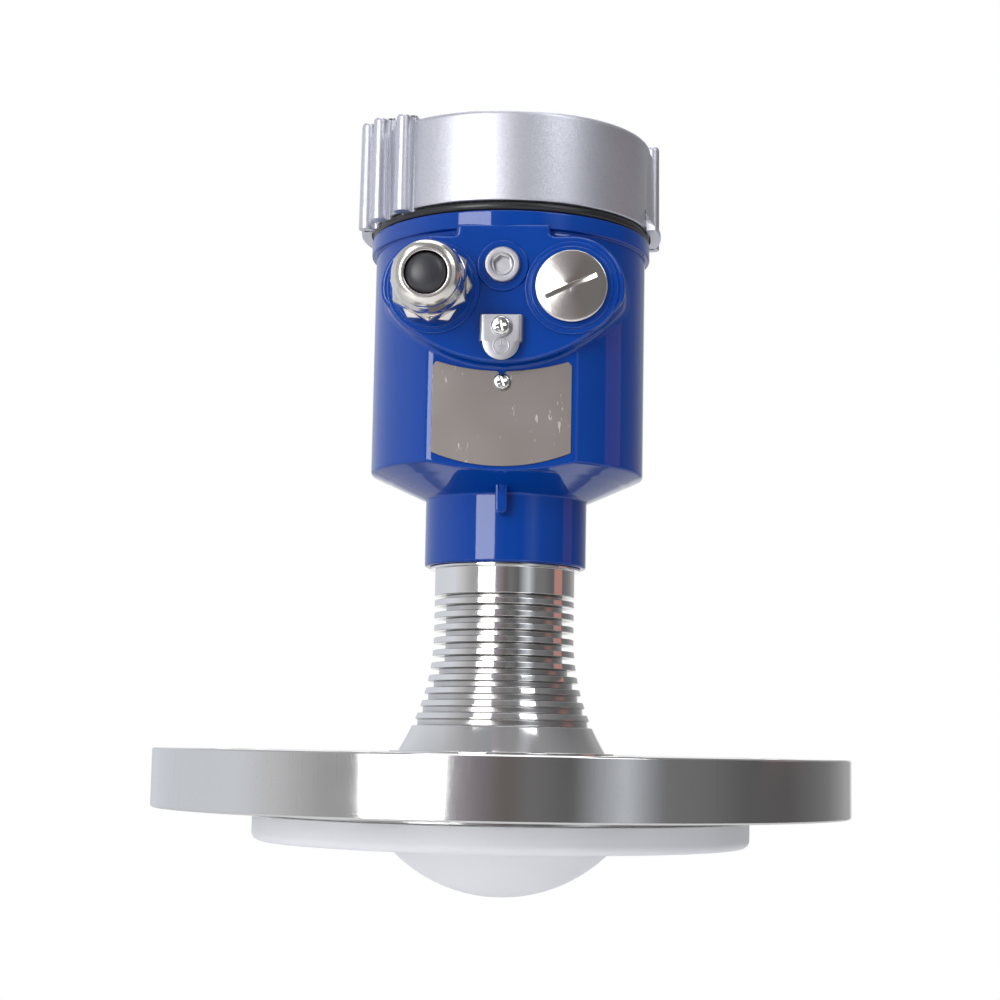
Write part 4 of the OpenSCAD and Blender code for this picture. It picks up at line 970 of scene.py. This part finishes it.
plateSheet = slab(evenly(plateOutline(plate), 400, 0.15), plate["gap"], plate["gap"] + plate["thick"], 0.12, 4)
makePiece("namePlateSheet", [placed(plateSheet, (0, -housing["panel"], 0))], "plate", "housing", "nameplate", 30)
plateScrew = placed(screwGrid(2.6, 1.8, 0.6, 2.6, 20), (0, -housing["panel"], plate["screw"]))
makePiece("namePlateScrewHead", [plateScrew], "polished_steel", "housing", "nameplate_screw", 28)
print("plates made")

# Pieces that keep their construction mesh take the finish of their material slot

for part in frame["record"]["subparts"]:
    solid = frame["nodes"][part["node"]]
    solid.data.materials.clear()
    solid.data.materials.append(finishes[part["material_slot"]])

# Stage and light

stage = {"floor": -0.42, "size": 4.0, "aim": 0.1}


def rayKinds(tree):
    # Rays straight from the camera, and those that the object's gloss or glass sends on
    path = addNode(tree, "LightPath").outputs
    return path["Is Camera Ray"], mathNode(tree, "ADD", path["Is Glossy Ray"], path["Is Transmission Ray"])


def makeFloor(s):
    mesh = bpy.data.meshes.new("floor")
    half = s["size"] / 2
    mesh.from_pydata([(x, y, s["floor"]) for x, y in rectangle(half, -half, half)], [], [(0, 1, 2, 3)])
    material, tree, surface, place = newFinish("floorPaint", {
        "Base Color": (0.80, 0.80, 0.80, 1), "Roughness": 0.9, "Specular IOR Level": 0.1, "Emission Strength": 1.0})
    straight, mirrored = rayKinds(tree)
    far = spread(tree, vectorNode(tree, "LENGTH", place), 0.24, 0.60, 0.35, 1.6)
    glow = plusScaled(tree, mathNode(tree, "MULTIPLY", straight, far), mirrored, 0.1)
    tree.links.new(glow, surface.inputs["Emission Color"])
    mesh.materials.append(material)
    addObject("floor", mesh)


# Azimuth and elevation in degrees, distance, width and height in metres, watts and colour.
# Azimuth 0 is in front (-Y), and positive turns towards +X
lamps = {
    "mainSoftbox": (-26.5, 8, 1.6, 0.73, 0.75, 13.2),
    "upperStrip": (-28, 34, 1.6, 0.6, 0.7, 2.2),
    "rightFill": (43, 35, 1.7, 0.55, 0.7, 5.2, (0.95, 0.98, 1.0)),
    "brownCard": (101, 6.5, 1.6, 0.55, 0.44, 0.32, (1.0, 0.36, 0.28)),
    "overhead": (20, 80, 1.8, 1.0, 1.0, 6),
    "floorWash": (180, 60, 4.5, 3.0, 3.0, 54),
}


def makeLamp(name, azimuth, elevation, distance, width, height, strength, colour=(1, 1, 1)):
    a, e = math.radians(azimuth), math.radians(elevation)
    place = Vector((math.sin(a) * math.cos(e), -math.cos(a) * math.cos(e), math.sin(e))) * distance
    place.z += stage["aim"]
    data = bpy.data.lights.new(name, "AREA")
    data.shape = "RECTANGLE"
    data.size, data.size_y = width, height
    data.energy = strength
    data.color = colour
    lamp = addObject(name, data)
    lamp.location = place
    lamp.rotation_euler = (Vector((0, 0, stage["aim"])) - place).to_track_quat("-Z", "Y").to_euler()


# Brightness of the studio round the object, by direction in degrees: 0 is in front, and +90 is towards +X
cool, plain, warm = (0.95, 1.0, 1.08), (1.0, 1.0, 1.03), (1.1, 0.96, 0.9)
teal, mauve = (0.84, 1, 1.12), (1.06, 0.96, 1.08)
roomBrightness = [
    (-180, 0.40, plain), (-150, 0.80, cool), (-120, 0.84, cool), (-88, 0.88, cool), (-70, 0.70, plain),
    (-54, 0.48, plain), (-45, 0.44, plain), (-19, 0.31, teal), (-10, 0.34, mauve), (-3, 0.25, mauve),
    (4, 0.16, warm), (13, 0.21, plain), (25, 0.14, plain), (33, 0.44, cool), (42, 0.74, cool), (49, 0.42, cool),
    (55, 0.23, plain), (70, 0.21, plain), (86, 0.145, plain), (106, 0.13, plain), (131, 0.24, plain),
    (152, 0.44, plain), (179, 0.40, plain),
]


def makeWorld(brightness):
    # White to the camera, and behind the object white to its reflections too. The ramp runs round the horizon for
    # the rest of what the object sees, and a ceiling closes it above
    world = bpy.data.worlds.new("studio")
    bpy.context.scene.world = world
    world.use_nodes = True
    tree = world.node_tree
    tree.nodes.clear()
    place = addNode(tree, "TexCoord").outputs["Generated"]
    ramp = addNode(tree, "ValToRGB")
    around = addNode(tree, "TexGradient", gradient_type="RADIAL", Vector=place)
    tree.links.new(around.outputs["Fac"], ramp.inputs[0])
    stops = sorted((((direction + 90) % 360) / 360, level, tint) for direction, level, tint in brightness)
    ramp.color_ramp.elements[0].position = 0
    ramp.color_ramp.elements[1].position = 1
    for k, (position, level, tint) in enumerate(stops):
        stop = ramp.color_ramp.elements.new(position) if k else ramp.color_ramp.elements[0]
        stop.position = position
        stop.color = tuple(level * t for t in tint) + (1,)
    ramp.color_ramp.elements[-1].color = ramp.color_ramp.elements[0].color
    parts = splitVector(tree, place)
    room = mixColours(tree, spread(tree, parts[2], 0.0, 0.65, 0.35, 0.8), ramp.outputs[0], (0.42, 0.42, 0.44, 1))
    straight, mirrored = rayKinds(tree)
    mirrored = mathNode(tree, "MULTIPLY", mirrored, spread(tree, parts[1], 0.0, 1.0, 0.94, 0.98))
    mix = addNode(tree, "MixShader", Fac=mathNode(tree, "MAXIMUM", straight, mirrored))
    tree.links.new(addNode(tree, "Background", Color=room).outputs[0], mix.inputs[1])
    tree.links.new(addNode(tree, "Background", Color=(1, 1, 1, 1)).outputs[0], mix.inputs[2])
    tree.links.new(mix.outputs[0], addNode(tree, "OutputWorld").inputs["Surface"])


makeFloor(stage)
makeWorld(roomBrightness)
for name, values in lamps.items():
    makeLamp(name, *values)
bpy.context.scene.view_settings.view_transform = "Standard"
print("stage made")
